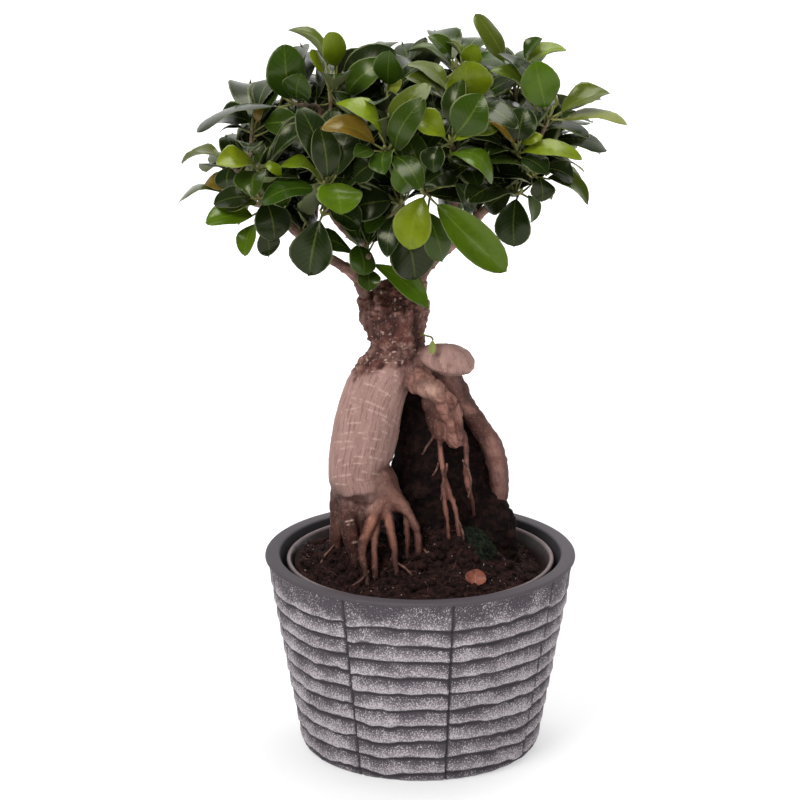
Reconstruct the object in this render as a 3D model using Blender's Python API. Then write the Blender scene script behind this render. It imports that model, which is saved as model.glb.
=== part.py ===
"""Bonsai fig in its pots, modelled in metres with +Z up.

A ginseng-rooted fig stands on exposed roots in a thin nursery pot, which stands inside a
heavier ribbed planter.  The origin is the middle of the planter's base, +X is to the right and
-Y is the front.  Each grafted branch carries leafy shoots, and every shoot is one solid whose
leaves are extruded out of the faces of its twig.
"""

import math

import bmesh
import bpy
import numpy as np
from mathutils import Vector, noise
from mathutils.bvhtree import BVHTree

MM = 0.001

# Driving dimensions -----------------------------------------------------------------------------

NURSERY_RIM_RADIUS = 70.0 * MM
NURSERY_BASE_RADIUS = 49.0 * MM
NURSERY_WALL = 1.0 * MM
NURSERY_LIP = 2.0 * MM          # the rolled rim stands this far out of the wall
NURSERY_RIM_DROP = 2.5 * MM     # below the planter's rim
RIM_GAP = 3.5 * MM              # between the nursery rim and the planter's mouth
DRAIN_HOLES = 6
DRAIN_HOLE_RADIUS = 4.0 * MM

PLANTER_HEIGHT = 105.0 * MM
FOOT_GAP = 5.0 * MM             # between the nursery pot's base and the planter's wall
PLANTER_RIM_WIDTH = 8.0 * MM
PLANTER_WALL = 8.5 * MM
PLANTER_FLOOR = 8.0 * MM
COLLAR_HEIGHT = 13.0 * MM       # the plain band under the rim
RIBS = 10
RIB_DEPTH = 1.3 * MM
PANELS = 8
PANEL_GROOVE_WIDTH = 3.0 * MM
PANEL_GROOVE_DEPTH = 2.0 * MM
FIRST_GROOVE = math.radians(-78.0)  # measured from +X, so this groove is right of the front

SOIL_DROP = 4.5 * MM            # soil below the nursery rim, at the front
SOIL_SLOPE = 0.14               # the soil falls away towards +X
SOIL_SLOPE_START = 20.0 * MM
TOUCH_GAP = 0.3 * MM            # between pieces that touch
SOIL_GAP = 0.5 * MM             # round the soil and round the buried roots

ROOT_GIRTH = 1.0                # thickness of every root and of the stump
TWIG_RADIUS = 1.2 * MM
LEAF_THICKNESS = 1.3 * MM

# The plant's points are drawn for a nursery rim at this height, and rise or sink with the rim.
DRAWN_RIM_HEIGHT = 102.5 * MM
# Height that a shoot's drawn point gains for each unit that it stands nearer the front.
SIGHT_SLOPE = 0.25

# Sizes that follow ------------------------------------------------------------------------------

MOUTH_RADIUS = NURSERY_RIM_RADIUS + RIM_GAP
PLANTER_FOOT_RADIUS = NURSERY_BASE_RADIUS + FOOT_GAP + PLANTER_WALL
PLANTER_TOP_RADIUS = MOUTH_RADIUS + PLANTER_RIM_WIDTH
NURSERY_RIM_HEIGHT = PLANTER_HEIGHT - NURSERY_RIM_DROP
NURSERY_BASE_HEIGHT = PLANTER_FLOOR + TOUCH_GAP
SOIL_LEVEL = NURSERY_RIM_HEIGHT - SOIL_DROP
PLANT_LIFT = NURSERY_RIM_HEIGHT - DRAWN_RIM_HEIGHT
SOIL_RADIUS = NURSERY_RIM_RADIUS - NURSERY_LIP - NURSERY_WALL - SOIL_GAP


# Helpers ----------------------------------------------------------------------------------------

def clear_scene():
    for old in list(bpy.data.objects):
        bpy.data.objects.remove(old, do_unlink=True)


def material(name, colour, roughness, metallic=0.0):
    made = bpy.data.materials.new(name)
    made.use_nodes = True
    shader = made.node_tree.nodes["Principled BSDF"]
    shader.inputs["Base Color"].default_value = (*colour, 1.0)
    shader.inputs["Roughness"].default_value = roughness
    shader.inputs["Metallic"].default_value = metallic
    made.diffuse_color = (*colour, 1.0)
    return made


def add_object(name, mesh_builder, finish):
    """Puts a bmesh into the scene as a named object with its material."""
    mesh = bpy.data.meshes.new(name)
    mesh_builder.to_mesh(mesh)
    mesh_builder.free()
    mesh.materials.append(finish)
    mesh.shade_smooth()
    mesh.set_sharp_from_angle(angle=math.radians(40))
    made = bpy.data.objects.new(name, mesh)
    bpy.context.scene.collection.objects.link(made)
    return made


def keep_largest_body(obj):
    """Applies the object's modifiers and drops the crumbs that its cuts left loose."""
    bpy.context.view_layer.update()
    graph = bpy.context.evaluated_depsgraph_get()
    applied = bpy.data.meshes.new_from_object(obj.evaluated_get(graph))
    builder = bmesh.new()
    builder.from_mesh(applied)
    bodies = []
    seen = set()
    for start in builder.faces:
        if start in seen:
            continue
        body, front = {start}, [start]
        while front:
            for side in front.pop().edges:
                if len(side.link_faces) == 2:
                    new = set(side.link_faces) - body
                    body |= new
                    front += new
        seen |= body
        bodies.append(body)
    bodies.sort(key=len)
    for body in bodies[:-1]:
        bmesh.ops.delete(builder, geom=list(body), context="FACES")
    builder.to_mesh(applied)
    builder.free()
    obj.modifiers.clear()
    obj.data = applied


def as_cutter(obj):
    obj.hide_render = True
    obj.display_type = "WIRE"
    return obj


def boolean(obj, other, operation):
    step = obj.modifiers.new(operation.lower(), "BOOLEAN")
    step.operation = operation
    step.solver = "EXACT"
    step.use_self = True
    step.object = other
    return step


def drawn(x, y, z):
    """A point of the plant in metres, from millimetres as drawn."""
    return Vector((x * MM, y * MM, z * MM + PLANT_LIFT))


def smooth_path(points, steps):
    """Catmull-Rom curve through the points, with the given number of steps in each span."""
    given = [np.array(p, float) for p in points]
    ends = [2 * given[0] - given[1], *given, 2 * given[-1] - given[-2]]
    out = []
    for a, b, c, d in zip(ends, ends[1:], ends[2:], ends[3:]):
        for t in np.arange(steps) / steps:
            out.append(0.5 * (2 * b + (c - a) * t + (2 * a - 5 * b + 4 * c - d) * t**2
                              + (3 * b - a - 3 * c + d) * t**3))
    out.append(given[-1])
    return out


def ring_frames(centres):
    """A pair of axes square to the path at each centre, carried along without twist."""
    centres = [Vector(c) for c in centres]
    frames = []
    across = None
    for i, here in enumerate(centres):
        before = centres[max(i - 1, 0)]
        after = centres[min(i + 1, len(centres) - 1)]
        along = (after - before).normalized()
        if across is None:
            across = along.orthogonal()
        across = (across - along * across.dot(along)).normalized()
        frames.append((across.copy(), along.cross(across)))
    return frames


def loft(builder, rings, cap_start=True, cap_end=True):
    """Quads between closed rings of vertices, with the two ends capped."""
    for low, high in zip(rings, rings[1:]):
        for j in range(len(low)):
            k = (j + 1) % len(low)
            builder.faces.new((low[j], low[k], high[k], high[j]))
    if cap_start:
        builder.faces.new(list(reversed(rings[0])))
    if cap_end:
        builder.faces.new(rings[-1])


def sweep(builder, points, sides=10, steps=2, flatten=1.0, lumps=0.0):
    """A closed tube along (x, y, z, radius) points in metres; flatten squashes it along Y."""
    path = smooth_path(points, steps)
    centres = [Vector(p[:3]) for p in path]
    rings = []
    for centre, (across, up), row in zip(centres, ring_frames(centres), path):
        ring = []
        for j in range(sides):
            angle = 2 * math.pi * j / sides
            reach = across * math.cos(angle) + up * math.sin(angle)
            place = centre + reach * float(row[3])
            swell = 1 + lumps * noise.noise(place * 90)
            reach = reach * float(row[3]) * swell
            reach.y *= flatten
            ring.append(builder.verts.new(centre + reach))
        rings.append(ring)
    loft(builder, rings)
    return rings


def turned(builder, profile, segments):
    """A closed solid turned about Z from an open (radius, height) profile whose ends are capped."""
    rings = []
    for radius, height in profile:
        rings.append([
            builder.verts.new((radius * math.cos(2 * math.pi * j / segments),
                               radius * math.sin(2 * math.pi * j / segments), height))
            for j in range(segments)
        ])
    loft(builder, rings)


# Planter ----------------------------------------------------------------------------------------

def planter_radius(height):
    share = height / PLANTER_HEIGHT
    return PLANTER_FOOT_RADIUS + (PLANTER_TOP_RADIUS - PLANTER_FOOT_RADIUS) * share


def planter_rows():
    """(height, how far in from the cone, how much a panel's ribs may wander) up the outer wall."""
    pitch = (PLANTER_HEIGHT - COLLAR_HEIGHT) / RIBS
    rows = [(0.0, 2.5 * MM, 0.0), (1.5 * MM, 0.6 * MM, 0.0), (pitch * 0.5, 0.0, 0.3)]
    for rib in range(1, RIBS + 1):
        rows.append((rib * pitch, RIB_DEPTH, 1.0))
        if rib < RIBS:
            rows.append(((rib + 0.5) * pitch, 0.0, 1.0))
    rows.append((PLANTER_HEIGHT - COLLAR_HEIGHT + 2.2 * MM, 0.0, 0.6))
    rows.append((PLANTER_HEIGHT - 1.2 * MM, 0.0, 0.0))
    rows.append((PLANTER_HEIGHT, 1.0 * MM, 0.0))
    return rows


def planter_columns():
    """(angle, share of the panel groove's depth, panel number) round the planter."""
    half = PANEL_GROOVE_WIDTH / 2 / PLANTER_TOP_RADIUS
    panel = 2 * math.pi / PANELS
    columns = []
    for number in range(PANELS):
        start = FIRST_GROOVE + number * panel
        columns.append((start, 1.0, number))
        columns.append((start + half, 0.0, number))
        for share in (0.27, 0.5, 0.73):
            columns.append((start + panel * share, 0.0, number))
        columns.append((start + panel - half, 0.0, number))
    return columns


def make_planter(finish):
    builder = bmesh.new()
    columns = planter_columns()
    rings = []
    for height, inset, wander in planter_rows():
        ring = []
        for angle, groove, panel in columns:
            shift = wander * 1.1 * MM * noise.noise(Vector((panel * 3.7, height * 60, 0.5)))
            top = height + shift
            grooved = 0 < height < PLANTER_HEIGHT - 1.3 * MM
            depth = max(inset, groove * PANEL_GROOVE_DEPTH if grooved else 0.0)
            radius = planter_radius(top) - depth
            ring.append(builder.verts.new((radius * math.cos(angle), radius * math.sin(angle), top)))
        rings.append(ring)
    inner_foot = planter_radius(PLANTER_FLOOR) - PLANTER_WALL
    inside = [(MOUTH_RADIUS, PLANTER_HEIGHT), (inner_foot + 2 * MM, PLANTER_FLOOR + 3 * MM),
              (inner_foot - 2 * MM, PLANTER_FLOOR)]
    for radius, height in inside:
        rings.append([builder.verts.new((radius * math.cos(a), radius * math.sin(a), height))
                      for a, _, _ in columns])
    loft(builder, rings)
    return add_object("outer_pot", builder, finish)


# Nursery pot ------------------------------------------------------------------------------------

def nursery_radius(height):
    """Outer radius of the nursery pot's wall at a height."""
    share = (height - NURSERY_BASE_HEIGHT) / (NURSERY_RIM_HEIGHT - NURSERY_BASE_HEIGHT)
    top = NURSERY_RIM_RADIUS - NURSERY_LIP
    return NURSERY_BASE_RADIUS + (top - NURSERY_BASE_RADIUS) * share


def make_nursery_pot(finish):
    base, top = NURSERY_BASE_HEIGHT, NURSERY_RIM_HEIGHT
    under_lip = top - 3.2 * MM
    profile = [
        (NURSERY_BASE_RADIUS, base),
        (nursery_radius(under_lip), under_lip),
        (NURSERY_RIM_RADIUS, under_lip + 0.6 * MM),
        (NURSERY_RIM_RADIUS, top - 0.5 * MM),
        (NURSERY_RIM_RADIUS - 0.7 * MM, top),
        (nursery_radius(top) - NURSERY_WALL, top - 0.4 * MM),
        (nursery_radius(base) - NURSERY_WALL, base + NURSERY_WALL),
    ]
    builder = bmesh.new()
    turned(builder, profile, 44)
    pot = add_object("nursery_pot", builder, finish)

    holes = bmesh.new()
    for number in range(DRAIN_HOLES):
        angle = 2 * math.pi * number / DRAIN_HOLES
        reach = NURSERY_BASE_RADIUS * 0.68
        x, y = reach * math.cos(angle), reach * math.sin(angle)
        rings = []
        for height in (base - 2 * MM, base + 4 * MM):
            rings.append([
                holes.verts.new((x + DRAIN_HOLE_RADIUS * math.cos(math.pi * k / 5),
                                 y + DRAIN_HOLE_RADIUS * math.sin(math.pi * k / 5), height))
                for k in range(10)
            ])
        loft(holes, rings)
    boolean(pot, as_cutter(add_object("drain_hole_cutter", holes, finish)), "DIFFERENCE")
    return pot


# Rootstock --------------------------------------------------------------------------------------

# Each root is drawn as (x, y, z, radius) points in millimetres, from the stump towards its tip.
ROOTS = {
    "stump": [(-12, 0, 208, 13), (-11.5, 0, 217, 12.8), (-13, 0, 226, 15), (-13.5, 0, 235, 15.5),
              (-14.5, 0, 243, 12), (-15.5, 0, 248.5, 8.5)],
    "left_branch_collar": [(-20, -1, 224, 8), (-25, -1, 235, 6.3), (-28, -1, 243, 4)],
    "right_branch_collar": [(-6, -2, 224, 8), (-3, -3, 236, 7.3), (-1, -2, 243, 5)],
    "great_leg": [(-12, 0, 214, 13), (-17, -2, 205, 14.5), (-22, -3, 196, 15.7),
                  (-25.5, -4, 186, 16.5), (-28, -4, 175, 17), (-30, -4, 164, 16.7),
                  (-31.5, -4, 154, 15.9), (-31.5, -4, 147, 15.8), (-29.5, -5, 140, 17),
                  (-28, -6, 133, 13)],
    "toe": [(-24, -7, 145, 12), (-17, -10, 137, 8), (-11, -13, 133, 3.6), (-6, -15, 131, 2.5),
            (-2.5, -16, 124, 2.4), (-1, -17, 115, 2.1), (-1, -17, 104, 1.8)],
    "claw_front": [(-20, -13, 137, 5), (-24, -18, 131, 3.7), (-28, -25, 123, 3.4),
                   (-30, -29, 117.5, 3.1), (-29, -33, 111, 2.9), (-28, -36, 102, 2.6),
                   (-28, -37, 91, 2.3)],
    "claw_right": [(-19, -12, 137, 5), (-17, -17, 129, 3.2), (-15, -22, 121, 2.7),
                   (-13.5, -26, 115, 2.6), (-13, -29, 109, 2.5), (-12, -31, 101, 2.4),
                   (-12, -32, 91, 2.1)],
    "claw_small": [(-22, -15, 132, 2.6), (-24, -26, 118, 1.9), (-23.5, -31, 108, 1.9),
                   (-23, -33, 94, 1.7)],
    "claw_thin": [(-9, -14, 134, 1.6), (-7.2, -17, 124, 1.3), (-7, -18, 115, 1.3),
                  (-7, -18, 103, 1.3)],
    "claw_dark": [(-36, -10, 140, 7.5), (-37, -15, 130, 5.3), (-36, -18, 120, 4.5),
                  (-34, -20, 110, 3.4), (-33, -21, 98, 2.6)],
    "claw_left": [(-41, -4, 140, 6), (-43, -5, 127, 4.2), (-43.5, -6, 113, 3.6),
                  (-43, -6, 96, 3.2)],
    "claw_between": [(-31, -12, 138, 4.5), (-31, -15, 125, 2.6), (-31, -16, 113, 2.4),
                     (-31, -16, 98, 2.2)],
    "knob": [(-4, -4, 212, 7), (4, -7, 213, 7.4), (9, -8, 212.6, 8.6), (15, -9, 211.5, 9.2),
             (21, -9, 210.2, 8), (26, -9, 208.8, 4.2)],
    "root_head": [(-6, -3, 208, 9), (-1, -7, 203, 8.5), (5, -11, 199, 7.6), (10, -13, 195, 6.4),
                  (14, -14, 188, 5.8), (16.5, -14, 181, 5.4), (18, -14, 173, 5.8),
                  (18, -14, 167, 3.8)],
    "root_lobe": [(4, -8, 198, 7), (7, -9, 188, 6), (9, -9, 179, 5.4), (10.5, -10, 171, 3.6)],
    "hanging_left": [(10, -9, 176, 2.6), (10, -12, 167, 1.6), (11, -13, 158, 1.6),
                     (12.5, -13, 149, 1.8), (15, -13, 141, 1.8), (18, -14, 133, 1.5),
                     (20, -14, 118, 1.3), (20, -14, 106, 1.2)],
    "hanging_fork": [(11.8, -13, 153, 1.5), (12, -14, 143, 1.3), (13, -15, 133, 1.2),
                     (14.5, -16, 123, 1.2), (15, -16, 106, 1.2)],
    "hanging_right": [(20, -13, 176, 3), (22.7, -13, 170, 1.9), (23.5, -13, 161, 1.6),
                      (23.7, -13, 152, 1.6), (25, -12, 144, 1.6), (28, -10, 132, 1.4),
                      (30, -9, 116, 1.2)],
    "outer_leg": [(2, 0, 205, 8), (12, 1, 202, 7), (18, 2, 195, 6), (21.8, 2, 187, 5.2),
                  (27, 2, 179, 5), (32.5, 2, 170.5, 5), (37.2, 3, 162, 4.6), (40.4, 3, 153, 4),
                  (42.2, 4, 144, 3.6), (43.2, 4, 136, 3.4), (43.2, 4, 122, 2.8),
                  (43, 4, 98, 2.6)],
    "rear_left_leg": [(-15, 6, 208, 9), (-20, 17, 185, 7), (-24, 27, 158, 6.4),
                      (-27, 35, 130, 5.2), (-29, 41, 92, 4)],
    "rear_right_leg": [(2, 6, 206, 8), (10, 18, 184, 6.4), (18, 29, 156, 5.6),
                       (25, 37, 128, 4.8), (30, 43, 92, 3.8)],
}
ROOT_VOXEL = 1.25 * MM
ROOT_TRIANGLE_SHARE = 0.044


def make_root_mesh(builder):
    for points in ROOTS.values():
        rows = [(*drawn(x, y, z), r * MM * ROOT_GIRTH) for x, y, z, r in points]
        sweep(builder, rows, sides=12, steps=2)


def grow_together(obj):
    """Blends the joined roots into one skin and thins its triangles."""
    skin = obj.modifiers.new("grown_together", "REMESH")
    skin.mode = "VOXEL"
    skin.voxel_size = ROOT_VOXEL
    soften = obj.modifiers.new("soften", "SMOOTH")
    soften.factor = 0.5
    soften.iterations = 2
    thin = obj.modifiers.new("thin", "DECIMATE")
    thin.ratio = ROOT_TRIANGLE_SHARE
    return obj


def make_rootstock(finish):
    builder = bmesh.new()
    make_root_mesh(builder)
    return grow_together(add_object("rootstock", builder, finish))


def make_root_cutter(rootstock, gap, name):
    """The rootstock's own skin moved out by a gap, to cut what touches it."""
    cutter = bpy.data.objects.new(name, rootstock.data)
    bpy.context.scene.collection.objects.link(cutter)
    grow_together(cutter)
    spread = cutter.modifiers.new("spread", "DISPLACE")
    spread.strength = gap
    spread.mid_level = 0.0
    return as_cutter(cutter)


# Soil -------------------------------------------------------------------------------------------

# Soil that still clings between the legs, as (x, y, z, radius) points in millimetres.
SOIL_BANKS = [
    [(5, 10, 197, 10), (5, 12, 186, 16), (8, 14, 168, 23), (11, 14, 150, 26.5), (13.5, 13, 130, 27.5),
     (16, 11, 92, 30)],
    [(37.5, 9, 139, 5), (37, 9, 130, 9.8), (34, 7, 116, 14), (33, 6, 92, 15)],
]


# Mounds of soil round the roots, as (x, y, height, radius) in millimetres.
MOUNDS = [(12, 2, 19, 34), (-38, 0, 12, 24)]


def soil_height(x, y):
    """Top of the soil: a slight fall to +X, the mounds round the roots and small lumps."""
    mound = 0.0
    for at_x, at_y, height, radius in MOUNDS:
        away = ((x / MM - at_x) ** 2 + (y / MM - at_y) ** 2) / radius**2
        mound += height * MM * math.exp(-away)
    fall = SOIL_SLOPE * max(0.0, x - SOIL_SLOPE_START)
    lumps = 1.6 * MM * noise.noise(Vector((x * 110, y * 110, 3.1)))
    return SOIL_LEVEL + mound - fall + lumps


def make_soil(finish, root_cutter):
    builder = bmesh.new()
    segments = 40
    foot_radius = NURSERY_BASE_RADIUS - NURSERY_WALL - SOIL_GAP
    foot = NURSERY_BASE_HEIGHT + NURSERY_WALL + TOUCH_GAP
    rings = [[builder.verts.new((foot_radius * math.cos(2 * math.pi * j / segments),
                                 foot_radius * math.sin(2 * math.pi * j / segments), foot))
              for j in range(segments)]]
    for share in (1.0, 0.88, 0.76, 0.64, 0.52, 0.4, 0.28, 0.14):
        ring = []
        for j in range(segments):
            angle = 2 * math.pi * j / segments
            radius = SOIL_RADIUS * share
            x, y = radius * math.cos(angle), radius * math.sin(angle)
            height = soil_height(x, y)
            if share == 1.0:
                radius = nursery_radius(height) - NURSERY_WALL - SOIL_GAP
                x, y = radius * math.cos(angle), radius * math.sin(angle)
            ring.append(builder.verts.new((x, y, height)))
        rings.append(ring)
    loft(builder, rings)
    soil = add_object("potting_soil", builder, finish)

    for number, points in enumerate(SOIL_BANKS):
        bank = bmesh.new()
        rows = [(*drawn(x, y, z), r * MM) for x, y, z, r in points]
        sweep(bank, rows, sides=14, steps=2, flatten=0.62, lumps=0.35)
        helper = add_object(f"soil_bank_{number + 1}", bank, finish)
        boolean(soil, as_cutter(helper), "UNION")
    boolean(soil, root_cutter, "DIFFERENCE")
    keep_largest_body(soil)
    return soil


# Branches ---------------------------------------------------------------------------------------

# Each branch is drawn as (x, y, z, radius) points in millimetres, from its foot to its tip.
BRANCHES = {
    "branch_left": [(-26, -1, 238, 3.6), (-29, -1, 246, 3.3), (-33, -2, 254, 3.0),
                    (-40, -3, 260.5, 2.8), (-52, -6, 269, 2.6), (-65, -9, 282, 2.4),
                    (-75, -12, 294, 2.1), (-81, -14, 307, 1.9), (-85, -13, 322, 1.6)],
    "branch_right": [(-2, -2, 240, 3.6), (0, -1, 248, 3.1), (0.6, 0, 255, 2.9),
                     (8, 0, 264, 2.8), (19, 0, 274, 2.7), (29, -1, 286, 2.5), (41, -2, 297, 2.3),
                     (48, -4, 306, 2.1), (52, -5, 318, 1.8), (55, -5, 334, 1.5)],
    "branch_inner": [(-28.3, 3.6, 252, 2.1), (-29, 4, 262, 2.1), (-28, 4, 271, 2.1),
                     (-20, 2, 278, 2.0), (-14, -1, 285, 1.9), (-11, -5, 298, 1.8),
                     (-13, -9, 315, 1.7), (-17, -10, 334, 1.4)],
    "branch_inner_left": [(-31.5, 4, 271, 1.9), (-38, 3, 277, 1.9), (-45, 0, 287, 1.8),
                          (-49, -4, 302, 1.8), (-52, -6, 320, 1.6), (-51, -5, 342, 1.4)],
    "branch_inner_right": [(20, 4.2, 277, 1.9), (17, 4, 288, 1.9), (18, 1, 302, 1.8),
                           (21, -3, 318, 1.6), (22, -3, 338, 1.5), (20, -2, 354, 1.3)],
    "branch_back_left": [(-53, -0.6, 271, 2.0), (-55, 12, 277, 1.9), (-54, 28, 287, 1.8),
                         (-50, 42, 301, 1.7), (-46, 50, 320, 1.5)],
    "branch_back_right": [(27, 3.4, 288, 2.0), (24, 16, 292, 1.9), (19, 30, 299, 1.8),
                          (12, 42, 311, 1.7), (10, 48, 330, 1.5)],
}
GRAFTED = ("branch_left", "branch_right")


def make_branches(finish, root_cutter):
    """The grafted branches fit the stump, and the rest start just off the branch they grow from."""
    for name, points in BRANCHES.items():
        builder = bmesh.new()
        rows = [(*drawn(x, y, z), r * MM) for x, y, z, r in points]
        sweep(builder, rows, sides=7, steps=2)
        branch = add_object(name, builder, finish)
        if name in GRAFTED:
            boolean(branch, root_cutter, "DIFFERENCE")


# Leafy shoots -----------------------------------------------------------------------------------

# Each shoot: its branch, the drawn point where its leaves meet (x, z, depth) and how many plain
# leaves fill it out towards the back.  Its drawn leaves follow, each with the foot of its blade
# and its tip (x, z), how far the tip stands behind (+) or before (-) the foot, its width, its
# turn (0 faces the front, 90 lies flat with its edge to the front) and the rise of its arch.
SHOOTS = [
    ("branch_left", (-81, 311, -35), 2, [
        (-80, 311, -84, 334, -8, 18, 5, 3), (-83, 312, -101, 313, -12, 14, 50, 3),
        (-78, 313, -70, 308, -2, 6, 30, 1), (-81, 309, -84, 297, -14, 17, 30, 3)]),
    ("branch_left", (-85, 333, -10), 3, [
        (-86, 335, -103, 338, 12, 14, 50, 2), (-90, 332, -112, 330, -6, 12, 60, 3),
        (-83, 335, -80, 343, -2, 5, 30, 1), (-79, 334, -62, 334, -8, 13, 15, 1),
        (-76, 331, -51, 342, 6, 14, 30, 3)]),
    ("branch_left", (-98, 314, 10), 3, [
        (-102, 317, -122, 315, 6, 16, 75, 3), (-98, 316, -99, 328, 6, 12, 30, 2),
        (-97, 312, -98, 300, -6, 14, 30, 2)]),
    ("branch_left", (-97, 299, 15), 3, [
        (-97, 302, -110, 304, -6, 11, 60, 2), (-100, 298, -125, 294, 4, 15, 75, 6)]),
    ("branch_left", (-82, 296, -20), 2, [
        (-86, 296, -104, 293, -2, 14, 45, 2), (-83, 293, -98, 290, -12, 12, 70, 2),
        (-85, 286, -108, 283, -4, 15, 40, 3), (-78, 294, -74, 274, -6, 18, 15, 3),
        (-91, 279, -106, 270, 2, 12, 40, 2), (-84, 282, -89, 266, -8, 10, 30, 2),
        (-79, 281, -77, 265, 2, 11, 20, 1)]),
    ("branch_inner_left", (-66, 345, -5), 4, [
        (-66, 347, -68, 373, -6, 19, 10, 3), (-69, 346, -96, 344, -4, 19, 75, 7),
        (-62, 346, -60, 359, -14, 15, 35, 3)]),
    ("branch_inner_left", (-44, 357, -5), 3, [
        (-47, 364, -64, 384, 4, 16, 72, 3), (-49, 360, -55, 372, -4, 9, 55, 1),
        (-42, 364, -46, 380, -8, 13, 30, 2), (-44, 358, -47, 347, -16, 16, 40, 3),
        (-39, 356, -14, 371, -3, 16, 15, 3), (-37, 349, -20, 366, -12, 14, 40, 5),
        (-36, 364, -10, 384, 6, 12, 65, 2)]),
    ("branch_inner_left", (-48, 303, -45), 2, [
        (-44, 303, -40, 288, -16, 21, 20, 3), (-51, 305, -70, 311, 2, 14, 70, 5),
        (-54, 300, -79, 295, -4, 14, 45, 3), (-47, 306, -50, 331, 2, 14, 20, 2),
        (-42, 307, -35, 331, 10, 16, 20, 2)]),
    ("branch_inner_left", (-50, 287, -33), 1, [
        (-51, 284, -57, 256, -4, 20, 5, 2), (-45, 288, -31, 281, -4, 14, 30, 2)]),
    ("branch_inner", (-17, 346, -15), 3, [
        (-17, 354, -16, 370, -10, 14, 15, 1), (-15, 347, -11, 357, -4, 7, 40, 1),
        (-12, 357, 3, 371, 4, 10, 45, 1), (-10, 354, 3, 360, -4, 10, 75, 1)]),
    ("branch_inner", (-18, 321, -48), 2, [
        (-23, 323, -48, 332, -4, 13, 40, 4), (-15, 323, 2, 354, 6, 15, 35, 4),
        (-13, 320, -1, 344, -6, 14, 40, 4), (-20, 328, -41, 344, 4, 14, 55, 5),
        (-24, 320, -33, 317, -8, 9, 40, 1), (-18, 319, -19, 309, -14, 13, 30, 1),
        (-14, 317, -3, 323, 8, 11, 30, 1), (-21, 315, -34, 306, 4, 13, 30, 2)]),
    ("branch_inner", (-10, 293, -28), 2, [
        (-15, 294, -37, 290, 4, 17, 20, 3), (-10, 283, -3, 254, -4, 22, 10, 3),
        (-17, 285, -28, 279, -4, 9, 30, 1), (-5, 299, -13, 311, -10, 12, 20, 2)]),
    ("branch_inner", (-27, 263, -22), 1, [
        (-24, 261, 3, 239, -4, 12, 30, 3), (-32, 271, -29, 256, 2, 15, 25, 2),
        (-27, 258, -26, 248, -8, 11, 10, 1)]),
    ("branch_inner_right", (1, 298, -43), 2, [
        (1, 296, -6, 270, -6, 18, 10, 2), (8, 292, 42, 259, -4, 18, 15, 4),
        (3, 288, 11, 263, 6, 14, 20, 2), (9, 275, 21, 260, 10, 13, 30, 2),
        (5, 297, 25, 291, 8, 13, 40, 2), (17, 303, 25, 286, 12, 11, 20, 2),
        (1, 301, 17, 310, 8, 15, 30, 2)]),
    ("branch_inner_right", (14, 325, -48), 2, [
        (12, 326, -6, 337, -4, 14, 35, 3), (17, 328, 30, 347, -2, 19, 5, 2),
        (17, 325, 37, 333, -6, 12, 65, 3), (9, 322, 6, 309, -6, 12, 20, 2),
        (14, 318, 34, 303, -8, 14, 50, 8), (13, 315, 35, 310, 6, 13, 40, 3)]),
    ("branch_inner_right", (19, 343, -32), 3, [
        (25, 345, 22, 364, -6, 22, 10, 2), (14, 342, -7, 357, 4, 14, 60, 5),
        (13, 350, -6, 364, 8, 14, 60, 3)]),
    ("branch_inner_right", (18, 364, 0), 3, [
        (15, 367, 4, 379, 0, 11, 50, 2), (15, 364, -6, 373, 8, 14, 70, 3),
        (24, 364, 28, 374, -6, 10, 10, 1), (23, 362, 44, 367, 8, 15, 60, 3),
        (21, 368, 13, 377, 2, 9, 70, 1)]),
    ("branch_right", (47, 357, -5), 3, [
        (46, 358, 42, 383, -6, 24, 8, 3), (42, 366, 28, 390, 4, 13, 45, 2),
        (52, 368, 60, 378, 0, 9, 50, 1), (53, 364, 72, 373, 2, 12, 60, 3),
        (51, 359, 86, 367, -3, 16, 72, 7)]),
    ("branch_right", (65, 339, -22), 3, [
        (62, 342, 57, 365, -4, 18, 5, 2), (56, 343, 36, 362, 2, 14, 55, 4),
        (67, 342, 67, 351, -6, 9, 30, 1), (70, 340, 94, 349, 4, 15, 50, 3),
        (72, 336, 102, 333, -6, 13, 60, 5), (64, 337, 61, 324, -12, 18, 20, 3)]),
    ("branch_right", (47, 320, -38), 2, [
        (46, 322, 34, 335, -4, 12, 50, 3), (50, 319, 79, 317, -6, 12, 50, 4),
        (50, 316, 62, 308, -8, 13, 40, 2), (50, 323, 60, 327, -2, 6, 20, 1),
        (48, 325, 52, 341, 8, 15, 20, 2)]),
    ("branch_right", (63, 325, 2), 3, [(66, 325, 94, 321, 2, 14, 55, 4)]),
    ("branch_right", (58, 308, -15), 2, [
        (56, 303, 34, 308, -4, 13, 60, 2), (60, 306, 61, 294, -4, 12, 20, 1),
        (63, 311, 77, 305, 2, 12, 40, 2), (64, 306, 84, 293, -6, 15, 40, 3)]),
    ("branch_right", (50, 298, -18), 2, [
        (48, 295, 47, 271, -4, 17, 10, 3), (54, 297, 57, 283, 4, 8, 40, 1),
        (46, 299, 33, 290, 8, 12, 20, 2)]),
    ("branch_back_left", (-88, 303, 34), 6, []),
    ("branch_back_left", (-68, 322, 47), 7, []),
    ("branch_back_left", (-44, 312, 64), 7, []),
    ("branch_back_left", (-48, 352, 40), 6, []),
    ("branch_back_left", (-26, 330, 58), 6, []),
    ("branch_back_right", (-8, 352, 44), 7, []),
    ("branch_back_right", (8, 316, 66), 7, []),
    ("branch_back_right", (36, 344, 50), 7, []),
    ("branch_back_right", (38, 312, 56), 7, []),
    ("branch_back_right", (62, 326, 34), 6, []),
]
TWIG_SIDES = 4
BUD_LENGTH = 5.0 * MM
TWIG_LEANS = [lean * MM for lean in (0, 5, -5, 10, -10, 16, -16)]
GOLDEN_ANGLE = math.radians(137.5)
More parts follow.
